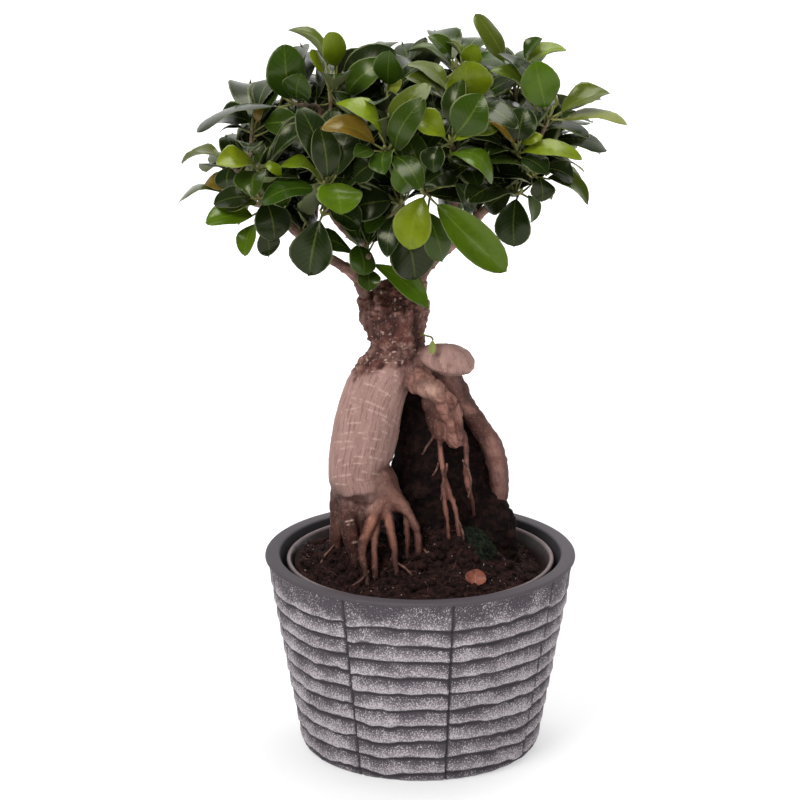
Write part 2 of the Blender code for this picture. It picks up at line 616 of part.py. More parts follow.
# Outline of a blade: (share of its length, share of its half width).
BLADE_STATIONS = ((0.0, 0.09), (0.24, 0.8), (0.56, 1.0), (0.86, 0.55))
PLAIN_STATIONS = ((0.0, 0.09), (0.34, 0.92), (0.76, 0.82))
# The plain leaves stay inside this crown: its middle (x, z), half sizes and how square it is.
CROWN_MIDDLE = (-10.0, 320.0)
CROWN_HALF = (108.0, 64.0)
CROWN_DEPTH = 86.0
CROWN_SQUARENESS = 2.6
VIEW_AXIS = Vector((0.0, 0.97, -0.24))  # from the front, a little downwards


def shown(x, z, depth):
    """A point drawn as the front view shows it: what stands nearer is really higher."""
    return drawn(x, depth, z - SIGHT_SLOPE * depth)


def blade_normal(along, turn):
    """The upper face's direction for a blade along a line, from its turn in degrees."""
    facing = -VIEW_AXIS + along * VIEW_AXIS.dot(along)
    facing = facing.normalized() if facing.length > 0.1 else along.orthogonal().normalized()
    lying = along.cross(facing)
    if lying.z < 0:
        lying = -lying
    angle = math.radians(turn)
    return (facing * math.cos(angle) + lying * math.sin(angle)).normalized()


def blade_rings(leaf):
    """The blade's four-cornered rings from foot towards tip, then its tip."""
    foot, tip, normal, width, arch, stations = leaf
    along = (tip - foot).normalized()
    side = normal.cross(along)
    rings = []
    for share, half in stations:
        middle = foot.lerp(tip, share) + normal * arch * 4 * share * (1 - share)
        reach = side * width / 2 * half
        fold = normal * width * 0.09 * half
        thick = normal * LEAF_THICKNESS / 2 * (0.6 + 0.4 * half)
        rings.append([middle + reach + fold, middle + thick, middle - reach + fold, middle - thick])
    return rings, tip


def blade_tree(leaf):
    """A collision tree of the blade alone."""
    rings, tip = blade_rings(leaf)
    points = [p for ring in rings for p in ring] + [tip]
    faces = []
    for i in range(len(rings) - 1):
        for j in range(4):
            k = (j + 1) % 4
            faces.append((4 * i + j, 4 * i + k, 4 * i + 4 + k, 4 * i + 4 + j))
    last = 4 * (len(rings) - 1)
    faces += [(last + j, last + (j + 1) % 4, len(points) - 1) for j in range(4)]
    return BVHTree.FromPolygons(points, faces)


def tube_tree(rows, sides=6):
    """A collision tree of a round path of (x, y, z, radius) rows."""
    builder = bmesh.new()
    sweep(builder, rows, sides=sides, steps=1)
    tree = BVHTree.FromBMesh(builder)
    builder.free()
    return tree


def nearest_on(rows, goal):
    """The index of the branch row that a twig to the goal best leaves from."""
    spans = [(Vector(row[:3]) - goal).length for row in rows]
    return int(np.argmin(spans))


def nearest_shoot(branch, rows):
    """The number of the branch's shoot that continues it from its tip."""
    tip = Vector(rows[-1][:3])
    own = [number for number, shoot in enumerate(SHOOTS) if shoot[0] == branch]
    return min(own, key=lambda number: (shown(*SHOOTS[number][1]) - tip).length)


def twig_rows(branch_rows, start, goal, lean):
    """A twig from a branch row to its goal and on to a bud; lean bends its middle sideways."""
    foot = Vector(branch_rows[start][:3])
    before = Vector(branch_rows[max(start - 1, 0)][:3])
    after = Vector(branch_rows[min(start + 1, len(branch_rows) - 1)][:3])
    along = (after - before).normalized()
    away = goal - foot
    if start == len(branch_rows) - 1:
        square = along
        clear = TOUCH_GAP + 0.1 * MM
    else:
        square = (away - along * away.dot(along)).normalized()
        clear = branch_rows[start][3] + TOUCH_GAP + 0.2 * MM
    side = square.orthogonal().normalized() if square is along else along.cross(square)
    first = foot + square * clear
    second = first + square * 2.5 * MM
    middle = second.lerp(goal, 0.5) + side * lean + Vector((0, 0, -0.06)) * away.length
    path = smooth_path([second, middle, goal], 3)
    centres = [first, *[Vector(p) for p in path]]
    heading = (centres[-1] - centres[-2]).normalized()
    heading = (heading + Vector((0, 0, 0.5))).normalized()
    centres.append(goal + heading * BUD_LENGTH)
    radii = np.linspace(1.15, 0.75, len(centres)) * TWIG_RADIUS
    return [(*c, float(r)) for c, r in zip(centres, radii)]


def plain_leaf(rows, number, seed):
    """A plain leaf number of a twig, set round it by the golden angle and drooping a little."""
    share = 0.98 - 0.09 * number
    place = share * (len(rows) - 2)
    index = int(place)
    at = Vector(rows[index][:3]).lerp(Vector(rows[index + 1][:3]), place - index)
    axis = (Vector(rows[-1][:3]) - Vector(rows[-3][:3])).normalized()
    across = axis.orthogonal().normalized()
    around = axis.cross(across)
    angle = GOLDEN_ANGLE * number + seed
    spread = math.radians(48 + 9 * (number % 4))
    out = across * math.cos(angle) + around * math.sin(angle)
    along = (axis * math.cos(spread) + out * math.sin(spread)).normalized()
    backwards = Vector((0.0, 0.35, 0.0))
    along = (along + backwards + Vector((0, 0, -0.15))).normalized()
    length = (31 + 4 * ((number * 5 + int(seed * 3)) % 4)) * MM
    foot = at + along * 7 * MM
    up = Vector((0, 0, 1)) + axis * 0.6
    normal = (up - along * up.dot(along)).normalized()
    return foot, foot + along * length, normal, length * 0.52, length * 0.12, PLAIN_STATIONS


def plain_tries(rows, number, seed):
    """Plain leaves set round the twig in turn, full size or smaller, inside the crown."""
    for extra in range(16):
        leaf = plain_leaf(rows, number, seed + 0.7 * extra)
        foot, tip, normal, width, arch, stations = leaf
        if inside_crown(tip):
            yield leaf
        tip = foot.lerp(tip, 0.75)
        if inside_crown(tip):
            yield foot, tip, normal, width * 0.75, arch * 0.75, stations


def hides(tree, points):
    """Whether a blade stands before any of the points in the front view."""
    return any(tree.ray_cast(point, -VIEW_AXIS)[0] is not None for point in points)


def inside_crown(point):
    """Whether a point lies inside the crown that the plain leaves may fill."""
    x, depth = point.x / MM, point.y / MM
    z = (point.z - PLANT_LIFT) / MM + SIGHT_SLOPE * depth
    across = abs((x - CROWN_MIDDLE[0]) / CROWN_HALF[0]) ** CROWN_SQUARENESS
    up = abs((z - CROWN_MIDDLE[1]) / CROWN_HALF[1]) ** CROWN_SQUARENESS
    return across + up < 1 and abs(depth) < CROWN_DEPTH


def drawn_leaf(row, depth):
    """A drawn leaf's foot, tip, upper face, width, arch and stations."""
    x, z, tip_x, tip_z, reach, width, turn, arch = row
    foot = shown(x, z, depth)
    tip = shown(tip_x, tip_z, depth + reach)
    return foot, tip, blade_normal((tip - foot).normalized(), turn), width * MM, arch * MM, BLADE_STATIONS


def leaf_tries(leaf):
    """The leaf as drawn, then swung back or forwards, turned over and pulled in, in small steps."""
    foot, tip, normal, width, arch, stations = leaf
    yield leaf
    along = tip - foot
    for step in (4, -4, 8, -8, 12, -12, 17, -17):
        swung = tip + Vector((0, 1, -SIGHT_SLOPE)) * step * MM
        heading = (swung - foot).normalized()
        face = (normal - heading * normal.dot(heading)).normalized()
        for roll in (0, 18, -18):
            angle = math.radians(roll)
            turned_face = face * math.cos(angle) + heading.cross(face) * math.sin(angle)
            yield foot, swung, turned_face, width, arch, stations
    for shorter in (0.85, 0.7, 0.55):
        yield foot, foot + along * shorter, normal, width * shorter, arch * shorter, stations
        swung = foot + along * shorter + Vector((0, 1, -SIGHT_SLOPE)) * 9 * MM
        yield foot, swung, normal, width * shorter, arch * shorter, stations


def stalk_tree(start, foot):
    return tube_tree([(*start, 0.8 * MM), (*start.lerp(foot, 0.9), 0.6 * MM)], 4)


def arrange_shoots():
    """Twigs first, then leaves, each moved in small steps until it clears what is there already."""
    branch_rows = {}
    taken = []
    for name, points in BRANCHES.items():
        rows = smooth_path([(*drawn(x, y, z), r * MM) for x, y, z, r in points], 4)
        branch_rows[name] = rows
        taken.append((name, tube_tree(rows)))
    twigs = []
    used_starts = {name: set() for name in BRANCHES}
    tip_shoots = {name: nearest_shoot(name, rows) for name, rows in branch_rows.items()}
    for number, (branch, (x, z, depth), _, _) in enumerate(SHOOTS):
        rows = branch_rows[branch]
        goal = shown(x, z, depth)
        ideal = min(nearest_on(rows, goal) - 2, len(rows) - 3)
        best = None
        starts = sorted(range(4, len(rows) - 1), key=lambda i: abs(i - ideal))
        if number == tip_shoots[branch]:
            starts.insert(0, len(rows) - 1)
        for start, lean in ((i, b) for i in starts for b in TWIG_LEANS):
            if start in used_starts[branch]:
                continue
            best = twig_rows(rows, start, goal, lean)
            tree = tube_tree(best)
            if not any(tree.overlap(other) for _, other in taken):
                break
        else:
            raise ValueError(f"shoot {number + 1} finds no clear way")
        used_starts[branch].add(start)
        twigs.append(best)
        taken.append((number, tree))
    shoots = [[] for _ in SHOOTS]
    queue = [(number, leaf_tries(drawn_leaf(row, SHOOTS[number][1][2])))
             for number in range(len(SHOOTS)) for row in SHOOTS[number][3]]
    for number, shoot in enumerate(SHOOTS):
        queue += [(number, plain_tries(twigs[number], k, number * 0.9)) for k in range(shoot[2])]
    on_show = []
    for number, tries in queue:
        for tried in tries:
            tree = blade_tree(tried)
            if any(tree.overlap(other) for _, other in taken):
                continue
            if tried[5] is PLAIN_STATIONS and hides(tree, on_show):
                continue
            stalk_start, face = stalk_place(twigs[number], tried[0], shoots[number])
            stalk = stalk_tree(stalk_start, tried[0])
            if any(owner != number and stalk.overlap(other) for owner, other in taken):
                continue
            shoots[number].append((tried, face))
            if tried[5] is BLADE_STATIONS:
                on_show += [tried[0].lerp(tried[1], share) for share in (0.2, 0.5, 0.8)]
            taken.append((("leaf", number), tree))
            taken.append((number, stalk))
            break
    return twigs, shoots


def twig_ring(rows, index):
    """Corners of a twig's ring."""
    frames = ring_frames([Vector(r[:3]) for r in rows])
    across, up = frames[index]
    centre, radius = Vector(rows[index][:3]), rows[index][3]
    return [centre + (across * math.cos(2 * math.pi * j / TWIG_SIDES)
                      + up * math.sin(2 * math.pi * j / TWIG_SIDES)) * radius
            for j in range(TWIG_SIDES)]


def stalk_place(rows, foot, placed):
    """The free face of the twig that a stalk to the foot best leaves: its middle and its number."""
    busy = {face for _, face in placed}
    best = None
    for segment in range(1, len(rows) - 2):
        low, high = twig_ring(rows, segment), twig_ring(rows, segment + 1)
        axis = (Vector(rows[segment][:3]) + Vector(rows[segment + 1][:3])) / 2
        for j in range(TWIG_SIDES):
            if (segment, j) in busy:
                continue
            k = (j + 1) % TWIG_SIDES
            middle = (low[j] + low[k] + high[k] + high[j]) / 4
            outward = (middle - axis).normalized()
            facing = outward.dot((foot - middle).normalized())
            cost = (foot - middle).length * (1.6 - facing) + (0.05 if facing < 0.25 else 0)
            if best is None or cost < best[0]:
                best = (cost, middle, (segment, j))
    return best[1], best[2]


def make_shoot(name, rows, leaves, finish):
    """The twig is lofted, and each stalk and blade is extruded ring by ring out of one face."""
    builder = bmesh.new()
    rings = [[builder.verts.new(p) for p in twig_ring(rows, i)] for i in range(len(rows) - 1)]
    faces = {}
    for segment, (low, high) in enumerate(zip(rings, rings[1:])):
        for j in range(TWIG_SIDES):
            k = (j + 1) % TWIG_SIDES
            faces[segment, j] = builder.faces.new((low[j], low[k], high[k], high[j]))
    builder.faces.new(list(reversed(rings[0])))
    bud = builder.verts.new(Vector(rows[-1][:3]))
    for j in range(TWIG_SIDES):
        builder.faces.new((rings[-1][j], rings[-1][(j + 1) % TWIG_SIDES], bud))
    for leaf, place in leaves:
        stations, tip = blade_rings(leaf)
        face = faces[place]
        corners = [v.co.copy() for v in face.verts]
        turn = min(range(4), key=lambda t: sum(
            (corners[j] - stations[0][(j + t) % 4]).length for j in range(4)))
        for station in stations:
            grown = bmesh.ops.extrude_discrete_faces(builder, faces=[face])
            face = grown["faces"][0]
            for j, vert in enumerate(face.verts):
                vert.co = station[(j + turn) % 4]
        point = bmesh.ops.poke(builder, faces=[face])["verts"][0]
        point.co = tip
    return add_object(name, builder, finish)


# Small things on the soil and the stump ---------------------------------------------------------

def make_moss(finish, root_cutter):
    """A low cushion that follows the soil round the roots."""
    builder = bmesh.new()
    centre_x, centre_y = 31 * MM, -13 * MM
    rings = []
    for share, lift in ((0.3, 0.0), (1.0, 0.0), (0.95, 1.6), (0.7, 2.6), (0.3, 3.0)):
        ring = []
        for j in range(14):
            angle = 2 * math.pi * j / 14
            wobble = 1 + 0.18 * math.sin(3 * angle + 0.7)
            x = centre_x + 10 * MM * share * wobble * math.cos(angle)
            y = centre_y + 7.5 * MM * share * wobble * math.sin(angle)
            ring.append(builder.verts.new((x, y, soil_height(x, y) + (0.7 + lift) * MM)))
        rings.append(ring)
    loft(builder, rings)
    moss = add_object("moss_patch", builder, finish)
    boolean(moss, root_cutter, "DIFFERENCE")
    keep_largest_body(moss)


def make_fallen_leaf(finish):
    """A dry curled leaf that leans up from the soil on its tip."""
    foot = Vector((28.5, -38, 9)) * MM
    tip = Vector((28, -45, 1.6)) * MM
    ground = soil_height(28 * MM, -44 * MM)
    builder = bmesh.new()
    rings = []
    for share, half in ((0.0, 0.75), (0.3, 1.0), (0.65, 0.85), (0.95, 0.3)):
        middle = foot.lerp(tip, share) + Vector((0, 0, ground))
        reach = Vector((5.2 * MM * half, 0, 0))
        curl = Vector((0, -1.6, 1.2)) * MM * half
        thick = Vector((0, -0.3, 0.3)) * MM
        rings.append([builder.verts.new(p) for p in (
            middle + reach + curl, middle + thick, middle - reach + curl, middle - thick)])
    loft(builder, rings)
    return add_object("fallen_leaf", builder, finish)


def make_sprout(finish, root_cutter):
    """A tiny green sprout low on the stump, with one young leaf."""
    stem = [(0, -9, 226), (3, -12.5, 226), (4.6, -14.6, 226.2), (5.4, -15.6, 226.2),
            (6, -16.4, 226), (6.3, -17.4, 225)]
    rows = [(*drawn(x, y, z), 0.8 * MM) for x, y, z in stem]
    foot, tip = drawn(5.6, -17, 224), drawn(5.0, -17.5, 217.5)
    blade = (foot, tip, blade_normal((tip - foot).normalized(), 10), 4 * MM, 0.4 * MM,
             PLAIN_STATIONS)
    _, face = stalk_place(rows, foot, [])
    sprout = make_shoot("rootstock_sprout", rows, [(blade, face)], finish)
    boolean(sprout, root_cutter, "DIFFERENCE")
    return sprout


# The whole object -------------------------------------------------------------------------------

def main():
    clear_scene()
    planter = material("planter_cement", (0.20, 0.19, 0.21), 0.85)
    plastic = material("nursery_plastic", (0.22, 0.16, 0.16), 0.5)
    soil = material("soil", (0.025, 0.014, 0.012), 0.95)
    bark = material("root_bark", (0.36, 0.20, 0.16), 0.75)
    wood = material("branch_bark", (0.33, 0.19, 0.15), 0.7)
    leaf = material("leaf", (0.07, 0.17, 0.03), 0.35)
    moss = material("moss", (0.012, 0.035, 0.022), 0.95)
    sprout = material("young_leaf", (0.30, 0.42, 0.10), 0.5)
    dry = material("dry_leaf", (0.50, 0.14, 0.05), 0.6)

    make_planter(planter)
    make_nursery_pot(plastic)
    rootstock = make_rootstock(bark)
    make_soil(soil, make_root_cutter(rootstock, SOIL_GAP, "soil_root_cutter"))
    graft_cutter = make_root_cutter(rootstock, TOUCH_GAP, "graft_cutter")
    make_branches(wood, graft_cutter)
    twigs, shoots = arrange_shoots()
    for number, (rows, leaves) in enumerate(zip(twigs, shoots)):
        make_shoot(f"leafy_shoot_{number + 1:02d}", rows, leaves, leaf)
    make_moss(moss, graft_cutter)
    make_fallen_leaf(dry)
    make_sprout(sprout, graft_cutter)


main()
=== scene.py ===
# %% [markdown]
# # A potted bonsai fig
# A ginseng-rooted fig stands on bare roots in a thin nursery pot, inside a heavy ribbed planter.
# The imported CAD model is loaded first. It fixes every size, so each piece below is built where
# the CAD says, and stands in for the plain CAD node that holds its place.

# %% Load the frame
import itertools
import math
from types import SimpleNamespace

import bpy
import numpy as np
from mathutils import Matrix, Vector


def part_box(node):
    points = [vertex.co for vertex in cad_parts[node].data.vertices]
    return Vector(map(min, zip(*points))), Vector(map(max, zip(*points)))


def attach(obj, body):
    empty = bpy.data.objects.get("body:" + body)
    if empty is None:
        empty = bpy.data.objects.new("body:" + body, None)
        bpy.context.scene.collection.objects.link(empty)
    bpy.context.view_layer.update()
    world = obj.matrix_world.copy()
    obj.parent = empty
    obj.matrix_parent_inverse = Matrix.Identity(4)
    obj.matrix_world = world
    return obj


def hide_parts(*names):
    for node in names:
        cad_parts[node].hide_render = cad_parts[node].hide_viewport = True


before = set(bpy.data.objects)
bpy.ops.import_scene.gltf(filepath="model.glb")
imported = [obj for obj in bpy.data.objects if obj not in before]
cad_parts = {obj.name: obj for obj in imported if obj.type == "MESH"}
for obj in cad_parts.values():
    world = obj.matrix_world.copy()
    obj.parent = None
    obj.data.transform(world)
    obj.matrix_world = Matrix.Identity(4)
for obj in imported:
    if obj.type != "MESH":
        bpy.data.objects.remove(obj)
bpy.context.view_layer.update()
MM = 0.001
print("CAD nodes:", len(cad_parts))

# %% [markdown]
# ## Tools for surfaces
# Every piece is a grid of points worked out with numpy. A stem, a root, a leaf and a turned pot
# are all the same thing: rings of points in a row, with a pole at both ends to close them.
# One set of faces then serves them all, so the shapes stay short formulas.

# %% Arrays of points into meshes


def unit(vectors):
    """Each vector divided by its length."""
    return vectors / np.maximum(np.linalg.norm(vectors, axis=-1, keepdims=True), 1e-12)


def ringed_faces(count, rings, sides):
    """Quads and end triangles of `count` closed skins, each rings * sides points and two poles."""
    i, j = np.meshgrid(np.arange(rings - 1) * sides, np.arange(sides), indexing="ij")
    k = (j + 1) % sides
    quads = np.stack([i + j, i + k, i + sides + k, i + sides + j], -1).reshape(-1, 4)
    j = np.arange(sides)
    k = (j + 1) % sides
    last = (rings - 1) * sides
    start = np.stack([np.full(sides, last + sides), k, j], -1)
    end = np.stack([last + j, last + k, np.full(sides, last + sides + 1)], -1)
    step = np.arange(count)[:, None, None] * (rings * sides + 2)
    return (quads + step).reshape(-1, 4), (np.vstack([start, end]) + step).reshape(-1, 3)


def ringed_points(rings, poles):
    """Rings (count, rings, sides, ...) and poles (count, 2, ...) in the order of ringed_faces."""
    flat = rings.reshape(rings.shape[0], -1, rings.shape[-1])
    return np.concatenate([flat, poles], 1).reshape(-1, rings.shape[-1])


def new_mesh(name, points, quads, triangles=()):
    """A smooth mesh from points and the quads and triangles between them."""
    mesh = bpy.data.meshes.new(name)
    triangles = np.asarray(triangles, int).reshape(-1, 3)
    loops = np.concatenate([np.ravel(quads), triangles.ravel()]).astype(np.int32)
    starts = np.concatenate([np.arange(len(quads)) * 4, len(quads) * 4 + np.arange(len(triangles)) * 3])
    mesh.vertices.add(len(points))
    mesh.vertices.foreach_set("co", np.asarray(points, np.float32).ravel())
    mesh.loops.add(len(loops))
    mesh.loops.foreach_set("vertex_index", loops)
    mesh.polygons.add(len(starts))
    mesh.polygons.foreach_set("loop_start", starts.astype(np.int32))
    mesh.update(calc_edges=True)
    mesh.shade_smooth()
    return mesh


def attribute(mesh, name, values):
    """Writes one value, or one colour or vector, for each point of the mesh."""
    values = np.asarray(values, np.float32)
    if values.ndim == 1:
        mesh.attributes.new(name, "FLOAT", "POINT").data.foreach_set("value", values)
    else:
        mesh.attributes.new(name, "FLOAT_VECTOR", "POINT").data.foreach_set("vector", values.ravel())


def new_piece(name, mesh, finish, replaces=()):
    """Puts a mesh into the scene as a finished piece of the model."""
    piece = bpy.data.objects.new(name, mesh)
    bpy.context.scene.collection.objects.link(piece)
    mesh.materials.clear()
    mesh.materials.append(finish)
    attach(piece, "root")
    if replaces:
        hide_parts(*replaces)
    print(name, len(mesh.vertices), "points,", len(mesh.polygons), "faces")
    return piece


# %% Paths, tubes and natural unevenness


def smooth_path(rows, steps):
    """Catmull-Rom curve through the rows, with `steps` points in each span."""
    rows = np.asarray(rows, float)
    rows = np.vstack([2 * rows[0] - rows[1], rows, 2 * rows[-1] - rows[-2]])
    t = (np.arange(steps) / steps)[None, :, None]
    a, b, c, d = (rows[i:len(rows) - 3 + i, None] for i in range(4))
    curve = (2 * b + (c - a) * t + (2 * a - 5 * b + 4 * c - d) * t**2
             + (3 * b - a - 3 * c + d) * t**3) / 2
    return np.vstack([curve.reshape(-1, rows.shape[1]), rows[-2]])


def run_along(path):
    """The distance along a path to each of its points."""
    return np.concatenate([[0], np.cumsum(np.linalg.norm(np.diff(path[:, :3], axis=0), axis=-1))])


def tubes(centres, radii, sides):
    """
    Round skins along paths (count, rings, 3) with radii (count, rings).
    Each ring is centre + radius * (cos * across + sin * up), both axes square to the path.
    """
    along = unit(np.gradient(centres, axis=1))
    least = np.argmin(np.abs(along).mean(1), -1)
    across = unit(np.cross(along, np.eye(3)[least][:, None]))
    up = np.cross(along, across)
    angle = np.arange(sides) * 2 * np.pi / sides
    spread = (np.cos(angle)[:, None] * across[:, :, None] + np.sin(angle)[:, None] * up[:, :, None])
    rings = centres[:, :, None] + radii[:, :, None, None] * spread
    cap = along[:, [0, -1]] * radii[:, [0, -1], None] * np.array([-0.5, 0.5])[:, None]
    return ringed_points(rings, centres[:, [0, -1]] + cap), ringed_faces(*rings.shape[:3])


def uneven(points, cell, seed=0):
    """Smooth noise from -1 to 1: a random value at each corner of a grid, blended in between."""
    place = np.asarray(points, float) / cell + 31.7 * seed
    low = np.floor(place).astype(np.int64)
    t = place - low
    t = t * t * (3 - 2 * t)
    total = np.zeros(place.shape[:-1])
    for corner in itertools.product((0, 1), repeat=3):
        at = low + np.array(corner)
        key = (at[..., 0] * 374761393 + at[..., 1] * 668265263 + at[..., 2] * 974634777) & 0xFFFFFFFF
        key = ((key ^ (key >> 13)) * 1274126177) & 0xFFFFFFFF
        share = np.prod(np.where(corner, t, 1 - t), -1)
        total += share * ((key ^ (key >> 16)) / 2**31 - 1)
    return total


def rough(points, cell, seed=0):
    """Three layers of unevenness, each half the size and strength of the one before."""
    return sum(uneven(points, cell / 2**k, seed + k) / 2**k for k in range(3)) / 1.75


def step_up(value, low, high):
    """0 below low, 1 above high and a smooth rise between."""
    t = np.clip((value - low) / (high - low), 0, 1)
    return t * t * (3 - 2 * t)


# %% [markdown]
# ## Tools for finishes
# A material is a graph of nodes. Writing it as sums is easier to read than wiring it by hand, so
# one small class wraps a socket: adding or multiplying two of them adds the Math node.

# %% Shader sums


class Wire:
    """A socket of a material's node graph that works in sums like a number."""

    def __init__(self, tree, socket=None):
        self.tree = tree
        self.socket = socket

    def node(self, kind, settings=None, sockets=None, out=0):
        """A new node: its settings first, then a value or a wire for each named socket."""
        made = self.tree.nodes.new(kind)
        for key, value in (settings or {}).items():
            setattr(made, key, value)
        for key, value in (sockets or {}).items():
            if isinstance(value, Wire):
                self.tree.links.new(value.socket, made.inputs[key])
            else:
                made.inputs[key].default_value = value
        return Wire(self.tree, made.outputs[out])

    def maths(self, operation, a, b=0.0):
        return self.node("ShaderNodeMath", {"operation": operation}, {0: a, 1: b})

    def __add__(self, other):
        return self.maths("ADD", self, other)

    def __sub__(self, other):
        return self.maths("SUBTRACT", self, other)

    def __rsub__(self, other):
        return self.maths("SUBTRACT", other, self)

    def __mul__(self, other):
        return self.maths("MULTIPLY", self, other)

    def __abs__(self):
        return self.maths("ABSOLUTE", self)

    __radd__ = __add__
    __rmul__ = __mul__

    def rise(self, low, high):
        """0 below low, 1 above high, smooth between; a falling mask where low is above high."""
        return self.node("ShaderNodeMapRange", {"interpolation_type": "SMOOTHSTEP"},
                         {"Value": self, "From Min": low, "From Max": high})

    def mix(self, mask, other):
        """This colour, or the other one where the mask is 1."""
        return self.node("ShaderNodeMix", {"data_type": "RGBA"}, {0: mask, 6: self, 7: other}, 2)

    def between(self, low, high):
        """One colour where this mask is 0 and another where it is 1."""
        return self.node("ShaderNodeMix", {"data_type": "RGBA"}, {0: self, 6: low, 7: high}, 2)

    def noise(self, scale, detail=2.0, grain=0.5):
        return self.node("ShaderNodeTexNoise", None,
                         {"Vector": self, "Scale": scale, "Detail": detail, "Roughness": grain})

    def split(self):
        """The three numbers of a vector."""
        first = self.node("ShaderNodeSeparateXYZ", None, {0: self})
        return [Wire(self.tree, out) for out in first.socket.node.outputs]


def paint(red, green, blue):
    """A colour as mixed on screen, turned into light."""
    screen = np.array([red, green, blue]) / 255
    light = np.where(screen <= 0.04045, screen / 12.92, ((screen + 0.055) / 1.055) ** 2.4)
    return (*light.tolist(), 1.0)


def hue(red, green, blue):
    """The same colour as three numbers, for the points of a mesh."""
    return np.array(paint(red, green, blue)[:3])


def new_finish(name, build, **fixed):
    """A material whose build(wire) gives what varies: socket names and their wires."""
    made = bpy.data.materials.new(name)
    made.use_nodes = True
    tree = made.node_tree
    shader = tree.nodes["Principled BSDF"]
    for key, value in fixed.items():
        shader.inputs[key.replace("_", " ")].default_value = value
    for key, value in build(Wire(tree)).items():
        tree.links.new(value.socket, shader.inputs[key])
    return made


def own(wire, name, out="Vector"):
    """A value that the mesh holds at its points."""
    return wire.node("ShaderNodeAttribute", {"attribute_name": name}, None, out)


def place(wire):
    """Where a point stands in the object frame, in metres."""
    return wire.node("ShaderNodeTexCoord", None, None, "Object")


def bump(wire, height, strength, distance):
    """A normal that follows small heights."""
    return wire.node("ShaderNodeBump", None,
                     {"Height": height, "Strength": strength, "Distance": distance})


# %% [markdown]
# ## The planter
# The heavy outer pot is cast, with eight panels of hand-cut ribs between narrow upright grooves,
# a plain collar and a smooth flat rim. It is a turned shape whose radius also depends on the
# angle, so one grid over height and angle makes it: rows for the ribs, columns for the grooves.

# %% Planter sizes from the frame
pot_low, pot_high = (np.array(corner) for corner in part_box("outer_pot"))
POT_HEIGHT = float(pot_high[2])
POT_TOP = float(pot_high[0] - pot_low[0]) / 2
POT_FOOT = 62.5 * MM
POT_FLOOR = 8 * MM
POT_WALL = 8.5 * MM
POT_MOUTH = 73.5 * MM
COLLAR = 17 * MM
RIB_PITCH = 9.3 * MM
RIB_DEPTH = 1.1 * MM
RIB_GROOVE = 0.8 * MM
PANEL_GROOVE = 1.9 * MM
PANEL_EDGES = np.radians([-165.0, -120.0, -78.0, -31.5, 14.0, 59.0, 104.0, 150.0])
print("planter", round(POT_HEIGHT / MM), "mm tall,", round(POT_TOP * 2 / MM), "mm across")

# %% The planter's wall as a function of angle and height


def planter_wall(angle, height):
    """
    Radius of the outer wall, and how much it is a groove, a rib's lower lip or ribbed at all.
    Each rib stands out most at its lower lip and slopes back upwards, like a roof tile:
    radius = cone + RIB_DEPTH * (lip - 0.8) - RIB_GROOVE * groove - PANEL_GROOVE * seam + grit,
    where the grooves run between the ribs and the seams stand upright between the panels.
    The ribs of each panel wander up and down on their own.
    """
    turn = (angle - PANEL_EDGES[:, None, None] + np.pi) % (2 * np.pi) - np.pi
    from_edge = np.abs(turn).min(0) * POT_TOP
    number = np.where(turn >= 0, turn, 9).argmin(0)
    spot = np.stack([POT_TOP * np.cos(angle), POT_TOP * np.sin(angle), height + number * 0.31], -1)
    wander = 2.1 * MM * uneven(spot * [1, 1, 0.3], 24 * MM) + 0.8 * MM * uneven(spot, 6 * MM, 3)
    below = (POT_HEIGHT - COLLAR - height + wander) / RIB_PITCH
    ribbed = step_up(below, -0.05, 0.1)
    phase = 1 - below % 1
    phase = np.where(below < 0, np.clip(-below * RIB_PITCH / COLLAR, 0, 1), phase)
    near = np.where(below < 0, phase * COLLAR, np.minimum(phase, 1 - phase) * RIB_PITCH)
    width = (0.35 + 0.95 * uneven(spot, 9 * MM, 5)) * MM
    groove = step_up(width - near, -1.3 * MM, 0.7 * MM)
    lip = (1 - phase) ** (4.5 - 3.2 * ribbed) * step_up(near, 0.1 * MM, 1.1 * MM)
    seam = step_up(1.15 * MM + 0.45 * MM * uneven(spot, 5 * MM, 7) - from_edge, 0, 0.9 * MM)
    seam = seam * step_up(POT_HEIGHT - height, 0.8 * MM, 2 * MM)
    cone = POT_FOOT + (POT_TOP - POT_FOOT) * height / POT_HEIGHT
    grit = 0.28 * MM * rough(spot, 2.2 * MM, 9) + 0.3 * MM * uneven(spot, 5 * MM, 11)
    radius = cone + RIB_DEPTH * (lip - 0.8) * (1 - seam) - RIB_GROOVE * groove - PANEL_GROOVE * seam
    return radius + grit * (0.3 + 0.7 * ribbed), np.maximum(groove, 1.2 * seam), lip, ribbed


